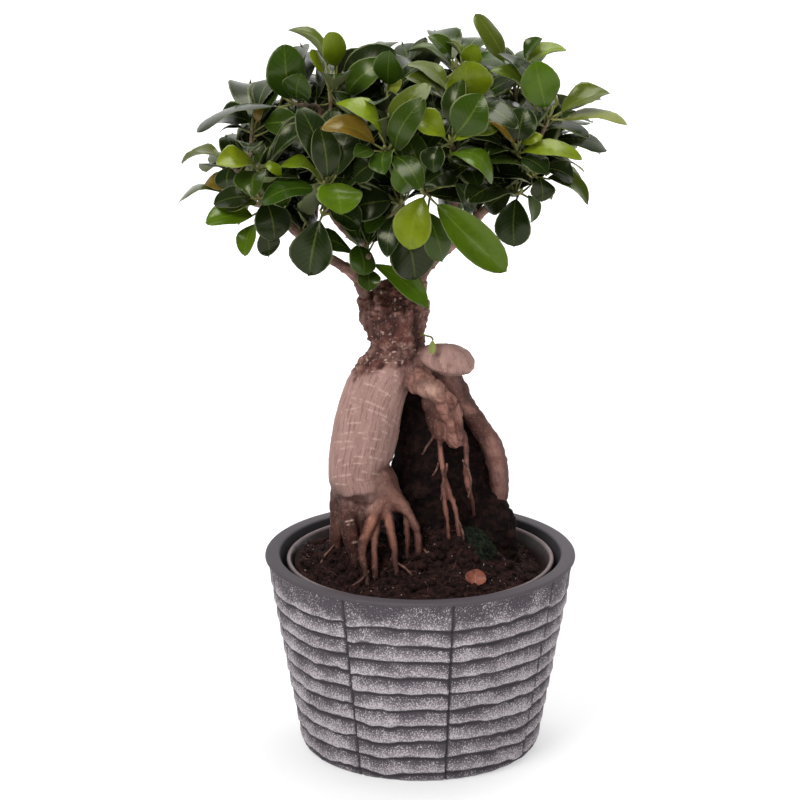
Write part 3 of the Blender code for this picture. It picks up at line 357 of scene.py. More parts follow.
def planter_mesh():
    """The ribbed outside, the rim rounded at both edges, and the plain inside, as one skin."""
    columns = 480
    angle = np.arange(columns) * 2 * np.pi / columns
    height = np.concatenate([[0.0, 0.35, 1.0, 1.8], np.arange(2.6, POT_HEIGHT / MM - 2, 0.62)]) * MM
    a, h = np.meshgrid(angle, height)
    radius, dark, lip, ribbed = planter_wall(a, h)
    foot = 2.2 * MM * (1 - np.minimum(h / (2.6 * MM), 1)) ** 2
    outside = np.stack([(radius - foot) * np.cos(a), (radius - foot) * np.sin(a), h], -1)
    edge = 1.5 * MM
    turn = np.linspace(0, np.pi / 2, 5)
    inner = POT_FOOT - POT_WALL
    profile = [(POT_TOP - edge * (1 - np.cos(t)), POT_HEIGHT - edge * (1 - np.sin(t)))
               for t in turn]
    profile += [(POT_MOUTH + edge * (1 - np.sin(t)), POT_HEIGHT - edge * (1 - np.cos(t)))
                for t in turn]
    profile += [(POT_MOUTH - s * (POT_MOUTH - inner), POT_HEIGHT - s * (POT_HEIGHT - POT_FLOOR))
                for s in np.linspace(0.05, 0.96, 14)]
    profile += [(inner - 2 * MM, POT_FLOOR), (inner * 0.5, POT_FLOOR)]
    r, z = np.array(profile).T[:, :, None]
    smooth = np.stack([r * np.cos(angle), r * np.sin(angle), z + 0 * angle], -1)
    rings = np.vstack([outside, smooth])[None]
    poles = np.array([[(0, 0, 0), (0, 0, POT_FLOOR)]], float)
    mesh = new_mesh("planter", ringed_points(rings, poles), *ringed_faces(*rings.shape[:3]))
    marks = np.zeros((*rings.shape[:3], 3))
    marks[0, :len(height)] = np.stack([dark, lip, ribbed], -1)
    attribute(mesh, "marks", ringed_points(marks, np.zeros((1, 2, 3))))
    for name, first in (("bare", 0), ("inside", 8)):
        share = np.zeros((*rings.shape[:3], 1))
        share[0, len(height) + first:] = 1
        attribute(mesh, name, ringed_points(share, np.zeros((1, 2, 1))).ravel())
    return mesh


# %% [markdown]
# The cast cement is dark grey, and a sandy white wash was wiped over it: it caught on the ridges
# as specks. The grooves and seams get painted shade, the ribs' lower lips a painted highlight and
# the inside painted shade; the rim is left plain.

# %% Planter finish


def cement(wire):
    """Dark cement with pale wash specks on the ridges and a plain rim; painted shade in the grooves,
    seams and inside, and a painted highlight on the ribs' lower lips.
    """
    at = place(wire)
    dark, lip, _ = own(wire, "marks").split()
    bare = own(wire, "bare", "Fac")
    patches = at.noise(70, 3.0, 0.6)
    specks = at.noise(1500, 1.0, 0.5)
    grains = at.noise(800, 2.0, 0.7)
    wash = (specks * 1.1 + grains * 0.5 + patches * 0.45 + lip * 0.26 - dark * 0.3).rise(1.12, 1.30)
    wash = wash * (1 - bare)
    # painted highlight on the ribs' lower lips, where light from above catches them, and painted shade
    # in the grooves
    stone = (patches * 0.8 + lip * 0.8 - dark * 0.5).rise(0.35, 1.1)
    stone = stone.between(paint(74, 68, 74), paint(140, 132, 138))
    # painted shade in the grooves and seams
    stone = stone.mix(dark * 0.7, paint(52, 47, 53))
    stone = stone.mix(wash * 0.8, paint(206, 198, 203))
    stone = stone.mix(bare, paint(72, 65, 71))
    # painted shade on the inside wall of the planter
    inside = own(wire, "inside", "Fac")
    stone = stone.mix(inside, paint(40, 36, 41))
    height = specks * 0.4 + grains * 0.6 + wash * 0.5
    return {"Base Color": stone, "Roughness": 0.9 - bare * 0.22,
            "Normal": bump(wire, height * (1 - bare * 0.8), 0.5, 0.5 * MM)}


cement_finish = new_finish("planter_cement", cement)
new_piece("planter", planter_mesh(), cement_finish, ["outer_pot"])

# %% [markdown]
# ## The nursery pot
# A thin brown plastic pot with a rolled lip and six drain holes. Its wall is a turned profile,
# and the holes are cut by a Boolean, as a punch would.

# %% Nursery pot
nursery_low, nursery_high = (np.array(corner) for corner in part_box("nursery_pot"))
NURSERY_RIM = float(nursery_high[0])
NURSERY_TOP = float(nursery_high[2])
NURSERY_BASE = float(nursery_low[2])
NURSERY_FOOT = 49 * MM
NURSERY_WALL = 1 * MM
NURSERY_LIP = 2 * MM
DRAIN_HOLES = 6
DRAIN_RADIUS = 4 * MM


def turned_mesh(name, profile, columns, low_pole, high_pole):
    """A closed skin: an open (radius, height) profile turned about Z, with a pole at each end."""
    angle = np.arange(columns) * 2 * np.pi / columns
    r, z = np.array(profile, float).T[:, :, None]
    rings = np.stack([r * np.cos(angle), r * np.sin(angle), z + 0 * angle], -1)[None]
    poles = np.array([[(0, 0, low_pole), (0, 0, high_pole)]])
    return new_mesh(name, ringed_points(rings, poles), *ringed_faces(*rings.shape[:3]))


def nursery_mesh():
    """The profile goes up the outside, over the rolled lip and down the inside."""
    wall = NURSERY_RIM - NURSERY_LIP
    under = NURSERY_TOP - 3.2 * MM
    turn = np.linspace(0, np.pi, 7)
    lip_mid = wall + NURSERY_LIP / 2 - 0.1 * MM
    profile = [(NURSERY_FOOT, NURSERY_BASE)]
    profile += [(NURSERY_FOOT + (wall - NURSERY_FOOT) * s, NURSERY_BASE + (under - NURSERY_BASE) * s)
                for s in np.linspace(0.03, 1, 8)]
    profile += [(NURSERY_RIM - 0.1 * MM, under + 0.3 * MM), (NURSERY_RIM, under + 1 * MM)]
    profile += [(lip_mid + 1.1 * MM * math.cos(t), NURSERY_TOP - 0.9 * MM + 0.9 * MM * math.sin(t))
                for t in turn]
    inner = wall - NURSERY_WALL
    profile += [(inner + (NURSERY_FOOT - NURSERY_WALL - inner) * s,
                 NURSERY_TOP - 1.6 * MM - (NURSERY_TOP - NURSERY_BASE - 2.6 * MM) * s)
                for s in np.linspace(0, 1, 8)]
    profile += [(NURSERY_FOOT * 0.4, NURSERY_BASE + NURSERY_WALL)]
    profile.insert(0, (NURSERY_FOOT * 0.4, NURSERY_BASE))
    return turned_mesh("nursery_liner", profile, 160, NURSERY_BASE, NURSERY_BASE + NURSERY_WALL)


def punch_drain_holes(piece):
    """Cuts round holes near the edge of the base."""
    around = np.arange(DRAIN_HOLES) * 2 * np.pi / DRAIN_HOLES
    hub = np.stack([np.cos(around), np.sin(around), 0 * around], -1) * NURSERY_FOOT * 0.68
    ends = np.array([(0, 0, NURSERY_BASE - 3 * MM), (0, 0, NURSERY_BASE + 5 * MM)])
    points, faces = tubes(hub[:, None] + ends, np.full((DRAIN_HOLES, 2), DRAIN_RADIUS), 16)
    punch = bpy.data.objects.new("punch", new_mesh("punch", points, *faces))
    bpy.context.scene.collection.objects.link(punch)
    cut = piece.modifiers.new("holes", "BOOLEAN")
    cut.object = punch
    apply_modifiers(piece)
    bpy.data.objects.remove(punch)


def apply_modifiers(piece):
    """Replaces the piece's mesh with what its modifiers make of it."""
    bpy.context.view_layer.update()
    ready = piece.evaluated_get(bpy.context.evaluated_depsgraph_get())
    mesh = bpy.data.meshes.new_from_object(ready)
    piece.modifiers.clear()
    piece.data = mesh
    return mesh


def brown_plastic(wire):
    """Dusty brown, paler along the top of the lip."""
    at = place(wire)
    dust = at.noise(260, 3.0, 0.65).rise(0.45, 0.75)
    colour = (dust * 0.6).between(paint(40, 29, 29), paint(70, 54, 52))
    lip = at.split()[2].rise(NURSERY_TOP - 1.4 * MM, NURSERY_TOP - 0.6 * MM)
    colour = colour.mix(lip, paint(112, 96, 96))
    return {"Base Color": colour, "Roughness": dust * 0.3 + 0.38,
            "Normal": bump(wire, at.noise(90, 2.0), 0.25, 0.4 * MM)}


plastic_finish = new_finish("nursery_plastic", brown_plastic, Specular_IOR_Level=0.25)
nursery = new_piece("nursery_liner", nursery_mesh(), plastic_finish, ["nursery_pot"])
punch_drain_holes(nursery)
print("nursery pot", round(NURSERY_RIM * 2 / MM), "mm across its rim")

# %% [markdown]
# ## The roots
# The swollen leg, the claws at its foot, the knob and the hanging roots are each a tube along a
# path of points with a radius. A voxel remesh melts them into one skin, as roots that grew into
# each other are, and then numpy pushes the skin in and out to make folds, bark and scars.

# %% Root paths, as (x, y, z, radius) points in millimetres from the stump towards each tip
ROOTS = {
    "stump": [(-12, 0, 208, 13), (-11.5, 0, 217, 12.8), (-13, 0, 226, 15), (-13.5, 0, 235, 15.5),
              (-14.5, 0, 243, 12), (-15.5, 0, 248.5, 8.5)],
    "left_branch_collar": [(-20, -1, 224, 8), (-25, -1, 235, 6.3), (-28, -1, 243, 4)],
    "right_branch_collar": [(-6, -2, 224, 8), (-3, -3, 236, 7.3), (-1, -2, 243, 5)],
    "great_leg": [(-12, 0, 214, 13), (-17, -2, 205, 14.5), (-22, -3, 196, 15.7),
                  (-25.5, -4, 186, 16.5), (-28, -4, 175, 17), (-30, -4, 164, 16.7),
                  (-31.5, -4, 154, 15.9), (-31, -4, 147, 16.2), (-29, -5, 140, 16.6),
                  (-28, -7, 134, 13.5), (-28, -9, 129, 9), (-28, -10, 124, 5), (-28, -11, 120, 2)],
    "toe": [(-26, -6, 149, 12), (-20, -9, 141, 10.5), (-13, -12, 136, 6), (-7, -15, 131.5, 3),
            (-2.5, -16, 124, 2.4), (-1, -17, 115, 2.1), (-1, -17, 104, 1.8)],
    "claw_front": [(-20, -13, 138, 6), (-24, -18, 131, 3.8), (-28, -25, 123, 2.9),
                   (-30, -29, 117.5, 2.4), (-29.5, -33, 111, 2.1), (-28, -36, 102, 1.7),
                   (-28, -37, 91, 1.5)],
    "claw_right": [(-19, -12, 138, 6), (-17, -17, 129, 3.1), (-15, -22, 121, 2.2),
                   (-13.5, -26, 115, 1.9), (-13, -29, 109, 1.7), (-12, -31, 101, 1.5),
                   (-12, -32, 91, 1.4)],
    "claw_small": [(-22, -15, 132, 2.6), (-24, -26, 118, 1.9), (-23.5, -31, 108, 1.9),
                   (-23, -33, 94, 1.7)],
    "claw_thin": [(-9, -14, 134, 1.6), (-7.2, -17, 124, 1.3), (-7, -18, 115, 1.3),
                  (-7, -18, 103, 1.3)],
    "claw_dark": [(-36, -10, 140, 7.5), (-37, -15, 130, 5.3), (-36, -18, 120, 4.5),
                  (-34, -20, 110, 3.4), (-33, -21, 98, 2.6)],
    "claw_left": [(-41, -4, 140, 6), (-43, -5, 127, 4.2), (-43.5, -6, 113, 3.6),
                  (-43, -6, 96, 3.2)],
    "claw_between": [(-31, -12, 138, 4.5), (-31, -15, 125, 2.6), (-31, -16, 113, 2.4),
                     (-31, -16, 98, 2.2)],
    "knob": [(-4, -3, 212, 6), (3, -5, 213, 6), (9, -8, 213, 7.6), (15, -9, 212, 8.4),
             (21, -9, 210.4, 7.4), (26.4, -9, 208, 4)],
    "root_head": [(-6, -3, 206, 9), (-1, -7, 201, 8), (5, -11, 197, 7.4), (10, -12, 192, 6.6),
                  (14, -12, 186, 6.6), (16, -12, 180, 6.4), (17, -13, 173, 6),
                  (18, -13, 167, 3.6)],
    "root_lobe": [(4, -9, 197, 7), (7, -10, 188, 6.4), (9, -10, 179, 5.8), (11, -11, 171, 4.4)],
    "hanging_left": [(10, -9, 176, 2.6), (10, -12, 167, 1.6), (11, -13, 158, 1.6),
                     (12.5, -13, 149, 1.8), (15, -13, 141, 1.8), (18, -14, 133, 1.5),
                     (20, -14, 118, 1.3), (20, -14, 106, 1.2)],
    "hanging_fork": [(11.8, -13, 153, 1.5), (12, -14, 143, 1.3), (13, -15, 133, 1.2),
                     (14.5, -16, 123, 1.2), (15, -16, 106, 1.2)],
    "hanging_right": [(20, -13, 176, 3), (22.7, -13, 170, 1.9), (23.5, -13, 161, 1.6),
                      (23.7, -13, 152, 1.6), (25, -12, 144, 1.5), (27, -9, 135, 1.2),
                      (28, -4, 126, 0.9)],
    "outer_leg": [(2, 0, 205, 8), (12, 1, 202, 7), (18, 2, 195, 6), (21.8, 2, 187, 5.2),
                  (27, 2, 179, 5), (32.5, 2, 170.5, 5.3), (37, 3, 162, 5.6), (39.8, 3, 153, 5.4),
                  (41.2, 4, 144, 5.1), (41.8, 4, 136, 4.6), (41.6, 4, 129, 3.4),
                  (41, 4, 112, 2)],
    "rear_left_leg": [(-15, 6, 208, 9), (-20, 17, 185, 7), (-24, 27, 158, 6.4),
                      (-27, 35, 130, 5.2), (-29, 41, 92, 4)],
    "rear_right_leg": [(2, 6, 206, 8), (10, 18, 184, 6.4), (18, 29, 156, 5.6),
                       (25, 37, 128, 4.8), (30, 43, 92, 3.8)],
}
LIFT = NURSERY_TOP - 102.5 * MM  # the plant's points are drawn for a nursery rim at 102.5 mm


def drawn_path(rows, steps):
    """A smooth path in metres through (x, y, z, radius) rows drawn in millimetres."""
    return smooth_path(rows, steps) * MM + [0, 0, LIFT, 0]


root_paths = {name: drawn_path(rows, 6) for name, rows in ROOTS.items()}
print("roots:", len(root_paths))

# %% The bark's colours, one for each root, and marks on the great leg
ROOT_TONES = {
    "stump": (92, 60, 52), "left_branch_collar": (112, 78, 66), "right_branch_collar": (130, 95, 82),
    "great_leg": (166, 131, 123), "toe": (136, 99, 88), "claw_front": (174, 116, 96),
    "claw_right": (160, 106, 88), "claw_small": (134, 94, 81), "claw_thin": (104, 64, 52),
    "claw_dark": (84, 50, 42), "claw_left": (136, 98, 86), "claw_between": (100, 64, 54),
    "knob": (172, 137, 128), "root_head": (154, 108, 96), "root_lobe": (88, 52, 42),
    "hanging_left": (152, 104, 90), "hanging_fork": (134, 86, 73), "hanging_right": (140, 92, 78),
    "outer_leg": (142, 103, 94), "rear_left_leg": (140, 102, 91), "rear_right_leg": (140, 102, 91),
}
# Pale raised scars across the great leg: (x, z) of both ends in millimetres, seen from the front.
LEG_SCARS = [
    (-24, 204, -12, 204), (-35, 189.5, -19, 184), (-41, 183.5, -33, 183.5), (-28, 183, -17, 180),
    (-14, 180, -10, 177), (-20, 179, -15, 176), (-43, 171, -35, 171), (-32, 170, -28, 170),
    (-45, 168, -36, 166), (-30, 167, -20, 167), (-42, 163, -33, 163), (-27, 162, -18, 161),
    (-44, 157, -37, 157.5), (-34, 157.5, -29, 157), (-26, 157, -20, 156.5), (-40, 154, -30, 153.5),
    (-45, 149, -36, 148), (-30, 149, -22, 148), (-44, 145, -38, 143), (-33, 145, -26, 144),
    (-30, 197, -24, 195.5), (-21, 194, -15, 192), (-38, 176, -31, 175.5), (-25, 173, -17, 171.5),
    (-39, 123, -35, 123), (-39, 121, -35, 121), (-35, 111, -32, 111),
]
FRONT_SLOPE = 0.31  # what stands nearer the front looks lower by this share


def join(parts):
    """One list of points and faces out of several."""
    points, quads, triangles, start = [], [], [], 0
    for part_points, (part_quads, part_triangles) in parts:
        points.append(part_points)
        quads.append(part_quads + start)
        triangles.append(part_triangles + start)
        start += len(part_points)
    return np.vstack(points), np.vstack(quads), np.vstack(triangles)


def melt(piece, voxel, soften):
    """Joins the piece's crossing tubes into one skin, and returns its points and normals."""
    skin = piece.modifiers.new("melt", "REMESH")
    skin.mode = "VOXEL"
    skin.voxel_size = voxel
    skin.use_smooth_shade = True
    calm = piece.modifiers.new("soften", "SMOOTH")
    calm.factor = 0.5
    calm.iterations = soften
    mesh = apply_modifiers(piece)
    points = np.empty(len(mesh.vertices) * 3)
    normals = np.empty(len(mesh.vertices) * 3)
    mesh.vertices.foreach_get("co", points)
    mesh.vertex_normals.foreach_get("vector", normals)
    return points.reshape(-1, 3), normals.reshape(-1, 3)


def push_out(piece, points, normals, push):
    """Moves every point of the piece along its normal, by its own number of millimetres."""
    points = points + normals * push[:, None] * MM
    piece.data.vertices.foreach_set("co", points.astype(np.float32).ravel())
    return points


def along_roots(points):
    """
    Each point's share of each root (count, roots), and where it lies on its nearest root:
    how far round it and how far along it, in metres.
    """
    gaps, places = [], []
    for path in root_paths.values():
        apart = np.linalg.norm(points[:, None] - path[None, :, :3], axis=-1)
        nearest = np.argmin(apart - path[:, 3], 1)
        gaps.append(apart[np.arange(len(points)), nearest] - path[nearest, 3])
        run = run_along(path)
        tangent = unit(np.gradient(path[:, :3], axis=0))[nearest]
        away = points - path[nearest, :3]
        angle = np.arctan2(away[:, 0], -away[:, 1])
        places.append(np.stack([angle * path[nearest, 3],
                                run[nearest] + (away * tangent).sum(-1)], -1))
    gaps = np.stack(gaps, 1)
    shares = np.exp(-(gaps - gaps.min(1, keepdims=True)) / (1.5 * MM))
    best = np.argmin(gaps, 1)
    return shares / shares.sum(1, keepdims=True), np.stack(places, 1)[np.arange(len(points)), best]


def scar_mask(x, z, wide):
    """1 on the pale scars, fading out over their width: the distance to each short line."""
    a = np.array(LEG_SCARS)[:, :2]
    b = np.array(LEG_SCARS)[:, 2:]
    p = np.stack([x, z], -1)[:, None]
    t = np.clip(((p - a) * (b - a)).sum(-1) / ((b - a) ** 2).sum(-1), 0, 1)[..., None]
    away = np.linalg.norm(p - a - t * (b - a), axis=-1).min(1)
    return step_up(wide - away, -0.35, 0.45)


# %% Colours of the bark, from deep cracks to pale scars; deep and dark also paint shade
BARK = {
    "deep": (50, 24, 19), "dark": (66, 37, 31), "soiled": (60, 40, 36), "reddish": (98, 58, 47),
    "brown": (96, 51, 43), "stump_right_pale": (130, 88, 76), "rim": (160, 124, 112),
    "fresh": (186, 148, 132), "speck": (204, 176, 164), "scar": (204, 172, 160),
    "eye": (120, 84, 76),
}
ROOT_VOXEL = 0.64 * MM
STUMP_EDGE = 209  # height in millimetres where smooth skin turns to coarse bark
KNOB_EYE = (15, 211.5)  # a small dark scar on the knob, as (x, z)
FRESH_SPOT = (5, 193)  # pale wood on the root head, as (x, height in the front view)

# %% Shape and colour the skin of the roots


def drawn_out(lie, across, along):
    """Places on the roots' skin, stretched across and along them, for noise that runs in lines."""
    return np.stack([lie[:, 0] * across, lie[:, 1] * along, 0 * lie[:, 0]], -1)


def skin_zones(points, normals):
    """
    Which part of the rootstock each point is on, as shares from 0 to 1 (leg, stump, knob, head
    and thin roots), and the folds, cracks, crust and scars that shape and colour its skin.
    """
    shares, lie = along_roots(points)
    share = dict(zip(root_paths, shares.T))
    x, y, z = (points - [0, 0, LIFT]).T / MM
    zone = SimpleNamespace(shares=shares, x=x, z=z, front=z + FRONT_SLOPE * y)
    zone.leg, zone.knob = share["great_leg"], share["knob"]
    zone.head = share["root_head"] + share["root_lobe"]
    zone.collars = share["left_branch_collar"] + share["right_branch_collar"]
    edge = STUMP_EDGE + 6.0 * rough(points, 11 * MM, 2) + 0.3 * (x + 12)
    above = step_up(z, edge - 1.5, edge + 2.5) * (1 - step_up(zone.knob + zone.head, 0.2, 0.8))
    zone.stump = np.maximum(above, share["stump"])
    zone.thin = np.clip(1 - zone.leg - zone.stump - zone.knob - zone.head, 0, 1)
    zone.grain = drawn_out(lie, 1, 0.12)
    zone.streak = rough(zone.grain, 2.6 * MM, 4)
    zone.fold = uneven(drawn_out(lie, 1, 0.08), 6.5 * MM, 8)
    zone.ridges = uneven(drawn_out(lie, 1, 0.2), 4.5 * MM, 9)
    zone.crease = step_up(1 - shares.max(1), 0.22, 0.5)
    zone.patch = step_up(rough(points, 7 * MM, 91), -0.05, 0.3)
    zone.crust = rough(points, 3.4 * MM, 20)
    zone.lump = uneven(points, 8 * MM, 30)
    wide_cracks = np.exp(-(uneven(points * [1, 1, 0.5], 5.5 * MM, 33) / 0.14) ** 2)
    fine_cracks = np.exp(-(uneven(points, 3 * MM, 34) / 0.12) ** 2)
    cracked = np.clip(zone.head + 0.9 * zone.stump + 0.3 * zone.knob, 0, 1)
    zone.cracks = cracked * np.maximum(wide_cracks, 0.7 * fine_cracks)
    dashes = step_up(uneven(drawn_out(lie, 1 / 7, 1), 0.8 * MM, 12), 0.5, 0.8)
    dashes = dashes * zone.leg * step_up(z, 138, 146)
    zone.seen = step_up(-normals[:, 1], 0.0, 0.3)
    scarred = step_up(zone.leg + share["claw_dark"], 0.3, 0.7) * zone.seen
    scarred = scarred * step_up(uneven(points, 1.9 * MM, 77), -0.45, 0.1)
    sagging = zone.front + 0.012 * (x + 29) ** 2
    zone.pale = np.maximum(scar_mask(x, sagging, 0.42) * scarred, dashes * 0.55)
    return zone


def skin_push(zone, points):
    """
    How far the skin moves out, in millimetres: the great leg gets upright folds and raised
    scars, the stump gets coarse broken bark, and everything gets small lumps.
    """
    knots = step_up(uneven(points, 3.0 * MM, 41), 0.45, 0.8)
    push = 0.35 * zone.lump + 0.12 * rough(points, 2.2 * MM, 31) + 0.1 * zone.streak
    push += 0.36 * zone.pale - 0.45 * zone.crease - 1.0 * zone.cracks
    push += zone.leg * (0.5 * zone.fold + 0.16 * zone.streak)
    coarse = 1.5 * zone.crust + 0.6 * np.abs(zone.streak) + 0.8 * knots + 1.2 * zone.ridges
    push += zone.stump * coarse
    push += zone.head * (1.2 * rough(points, 6 * MM, 33) + 0.5 * zone.ridges)
    push += zone.thin * (0.45 * uneven(points, 2.4 * MM, 35) + 0.4 * zone.ridges)
    return push + zone.knob * 0.3 * zone.ridges


def skin_tone(zone, points, normals):
    """The colour at each point: the roots' own tones, then layers of (colour, share) over them. Some
    layers are painted shade: on the sides of thin roots, in creases, on undersides and on the outer
    leg's left side.
    """
    x, z, front, thin, stump = zone.x, zone.z, zone.front, zone.thin, zone.stump
    # darker towards the lower left: below 143 mm and left of x = -25
    lower_left_dark = step_up(143 + 7 * rough(points, 6 * MM, 98) - z, 0, 5) * step_up(-25 - x, 0, 5)
    shaded = step_up(x, 14, 24) * step_up(38 - x, 0, 6) * step_up(front, 120, 150) * thin
    beside = step_up(8 + 4 * rough(points, 5 * MM, 94) - x, 0, 3) * step_up(191 - front, 0, 4)
    spot = np.exp(-(((x - FRESH_SPOT[0]) / 6.5) ** 2 + ((front - FRESH_SPOT[1]) / 5) ** 2))
    specks = step_up(uneven(points, 1.2 * MM, 97), 0.55, 0.8) * step_up(z, 150, 215)
    # downward-facing skin below 150 mm, which gets painted shade
    under = step_up(-normals[:, 2], -0.15, 0.6) * step_up(150 - z, 0, 8)
    eye = np.exp(-((x - KNOB_EYE[0]) ** 2 + (z - KNOB_EYE[1]) ** 2) / 2.6) * zone.seen * zone.knob
    layers = [
        ("brown", stump * (0.85 + 0.15 * zone.lump) * (1 - 0.5 * zone.collars)),
        # the stump is paler on its right side
        ("stump_right_pale", stump * step_up(x, -10, 0) * 0.6),
        ("rim", stump * step_up(zone.crust + 0.4 * zone.ridges, 0.12, 0.5) * 0.6),
        ("deep", stump * step_up(-zone.crust - 0.5 * zone.ridges, -0.05, 0.3) * 0.92),
        ("reddish", zone.patch * np.clip(zone.head + 0.75 * thin, 0, 1) * 0.75),
        ("reddish", step_up(140 - z, 0, 30) * thin * 0.6),
        # painted shade: thin roots are darker on their sides that face left and right
        ("dark", step_up(np.abs(normals[:, 0]), 0.4, 0.9) * thin * 0.7),
        # darker patches at the lower left
        ("deep", lower_left_dark * step_up(rough(points, 3 * MM, 99), -0.6, 0.2) * 0.75),
        ("deep", shaded * step_up(rough(points, 6 * MM, 95), -0.4, 0.2) * 0.7),
        # painted shade in the creases where roots meet
        ("deep", zone.crease * 0.5 * (1 - zone.leg)),
        ("deep", zone.cracks * 0.7),
        ("deep", beside * zone.head * step_up(rough(points, 2.6 * MM, 93), -0.5, 0.2) * 0.95),
        ("fresh", spot * zone.head * 0.9),
        ("speck", specks * (zone.leg + stump) * 0.65),
        # painted shade on downward-facing skin, strongest low on the roots
        ("dark", np.maximum(under * 0.8, step_up(-normals[:, 2], 0.35, 0.9) * 0.45)),
    ]
    marks = [
        ("scar", np.clip(zone.pale, 0, 1) * 0.8),
        ("eye", eye * 0.8),
        ("soiled", step_up(115 + 6 * uneven(points, 4 * MM, 60) - z, 0, 9) * 0.75),
    ]
    tone = zone.shares @ np.array([hue(*ROOT_TONES[name]) for name in root_paths])
    tone = layered(tone, layers)
    tone = tone * (0.94 + 0.16 * zone.streak + 0.14 * rough(points, 9 * MM, 50))[:, None]
    return layered(tone, marks)


def layered(tone, layers):
    """Mixes each layer's bark colour over the tone by its share at each point."""
    for name, share in layers:
        share = np.clip(share, 0, 1)[:, None]
        tone = tone * (1 - share) + hue(*BARK[name]) * share
    return tone


def grow_roots(piece):
    """Melts the roots' tubes into one skin, pushes it along its normals and colours it."""
    points, normals = melt(piece, ROOT_VOXEL, 3)
    zone = skin_zones(points, normals)
    points = push_out(piece, points, normals, skin_push(zone, points))
    attribute(piece.data, "tone", np.clip(skin_tone(zone, points, normals), 0, 1))
    attribute(piece.data, "grain", zone.grain)
    attribute(piece.data, "crust", np.clip(zone.stump, 0, 1))


def root_bark(wire):
    """The skin's own tone with dark lines along the root, pale pores and, on bark, dark patches."""
    at = place(wire)
    tone = own(wire, "tone", "Color")
    grain = own(wire, "grain")
    crust = own(wire, "crust", "Fac")
    lines = grain.noise(900, 3.0, 0.6)
    pores = at.noise(1000, 2.0, 0.6)
    patches = at.noise(160, 3.0, 0.6)
    colour = tone.mix(lines.rise(0.48, 0.66) * 0.45, paint(92, 56, 48))
    colour = colour.mix(pores.rise(0.6, 0.74) * 0.25, paint(212, 184, 172))
    colour = colour.mix(patches.rise(0.5, 0.75) * crust * 0.5, paint(56, 32, 28))
    height = lines * 0.5 + pores * 0.3 + patches * crust
    return {"Base Color": colour, "Roughness": lines * 0.2 + 0.55,
            "Normal": bump(wire, height, 0.6, 0.6 * MM)}


root_finish = new_finish("root_bark", root_bark, Specular_IOR_Level=0.25)
raw_roots = join([tubes(path[None, :, :3], path[None, :, 3], 20) for path in root_paths.values()])
roots = new_piece("roots", new_mesh("roots", *raw_roots), root_finish, ["rootstock"])
grow_roots(roots)
print("roots:", len(roots.data.polygons), "faces")

# %% [markdown]
# ## The soil
# Dark peat fills the nursery pot and clings between the legs. Its top is a height above the
# ground plane, with mounds and crumbs of four sizes, and loose crumbs, bark fibres and pale
# specks lie on it as separate small tubes.

# %% Soil
SOIL_DROP = 4.5 * MM
SOIL_SLOPE = 0.14
SOIL_SLOPE_START = 20 * MM
MOUNDS = [(12, 2, 19, 34), (-38, 0, 12, 24), (19, -10, 6.5, 13), (33, -11, 4, 10)]
SOIL_BANKS = [
    [(5, 10, 197, 10), (5, 12, 186, 16), (8, 14, 168, 23), (11, 14, 150, 26.5),
     (13.5, 13, 130, 27.5), (16, 11, 92, 30)],
    [(40, 6, 141, 1.5), (39, 6, 138, 5), (37.5, 5, 131, 9.5), (36, 4, 122, 14),
     (34, 3, 110, 17), (33, 3, 92, 18)],
]


def soil_level(x, y):
    """Height of the soil's top: level, plus mounds, less the fall towards +X, plus crumbs."""
    mound = sum(rise * MM * np.exp(-((x / MM - a) ** 2 + (y / MM - b) ** 2) / radius**2)
                for a, b, rise, radius in MOUNDS)
    fall = SOIL_SLOPE * np.maximum(0, x - SOIL_SLOPE_START)
    spot = np.stack([x, y, 0 * x], -1)
    crumbs = 1.5 * uneven(spot, 11 * MM, 70) + 1.1 * uneven(spot, 4.2 * MM, 71)
    crumbs = crumbs + 0.8 * np.abs(uneven(spot, 1.9 * MM, 72)) + 0.35 * uneven(spot, 0.9 * MM, 73)
    return NURSERY_TOP - SOIL_DROP + mound - fall + crumbs * MM


def soil_mesh():
    """The soil's top as rings round its middle, closed below by the cone of the nursery pot."""
    columns = 400
    angle = np.arange(columns) * 2 * np.pi / columns
    wall = NURSERY_RIM - NURSERY_LIP - NURSERY_WALL - 0.5 * MM
    base = NURSERY_BASE + NURSERY_WALL + 0.3 * MM
    foot = NURSERY_FOOT - NURSERY_WALL - 0.5 * MM
    share = np.linspace(1, 0.02, 104)[:, None]
    rim_drop = 2.2 * MM * step_up(share, 0.97, 1)
    x, y = wall * share * np.cos(angle), wall * share * np.sin(angle)
    z = soil_level(x, y) - rim_drop
    z[0] = np.minimum(z[0], NURSERY_TOP - 2 * MM)
    top = np.stack([x, y, z], -1)
    slope = (wall - foot) / (NURSERY_TOP - base)
    squeeze = (wall - np.maximum(NURSERY_TOP - z[0], 0) * slope) / wall
    top[0, :, :2] *= squeeze[:, None]
    low = np.stack([foot * np.cos(angle), foot * np.sin(angle), base + 0 * angle], -1)
    rings = np.concatenate([low[None], low[None] * 0.5 + top[:1] * 0.5, top])[None]
    poles = np.array([[(0, 0, base), (0, 0, top[-1, :, 2].mean())]])
    return new_mesh("soil", ringed_points(rings, poles), *ringed_faces(*rings.shape[:3]))


def peat(wire):
    """Near-black clods with brown grit."""
    at = place(wire)
    clods = at.noise(240, 4.0, 0.65)
    grit = at.noise(900, 3.0, 0.7)
    colour = clods.rise(0.35, 0.7).between(paint(20, 12, 11), paint(58, 37, 33))
    colour = colour.mix(grit.rise(0.6, 0.78) * 0.45, paint(112, 80, 72))
    return {"Base Color": colour, "Roughness": grit * 0.2 + 0.8,
            "Normal": bump(wire, clods * 0.7 + grit * 0.5, 0.8, 1.2 * MM)}


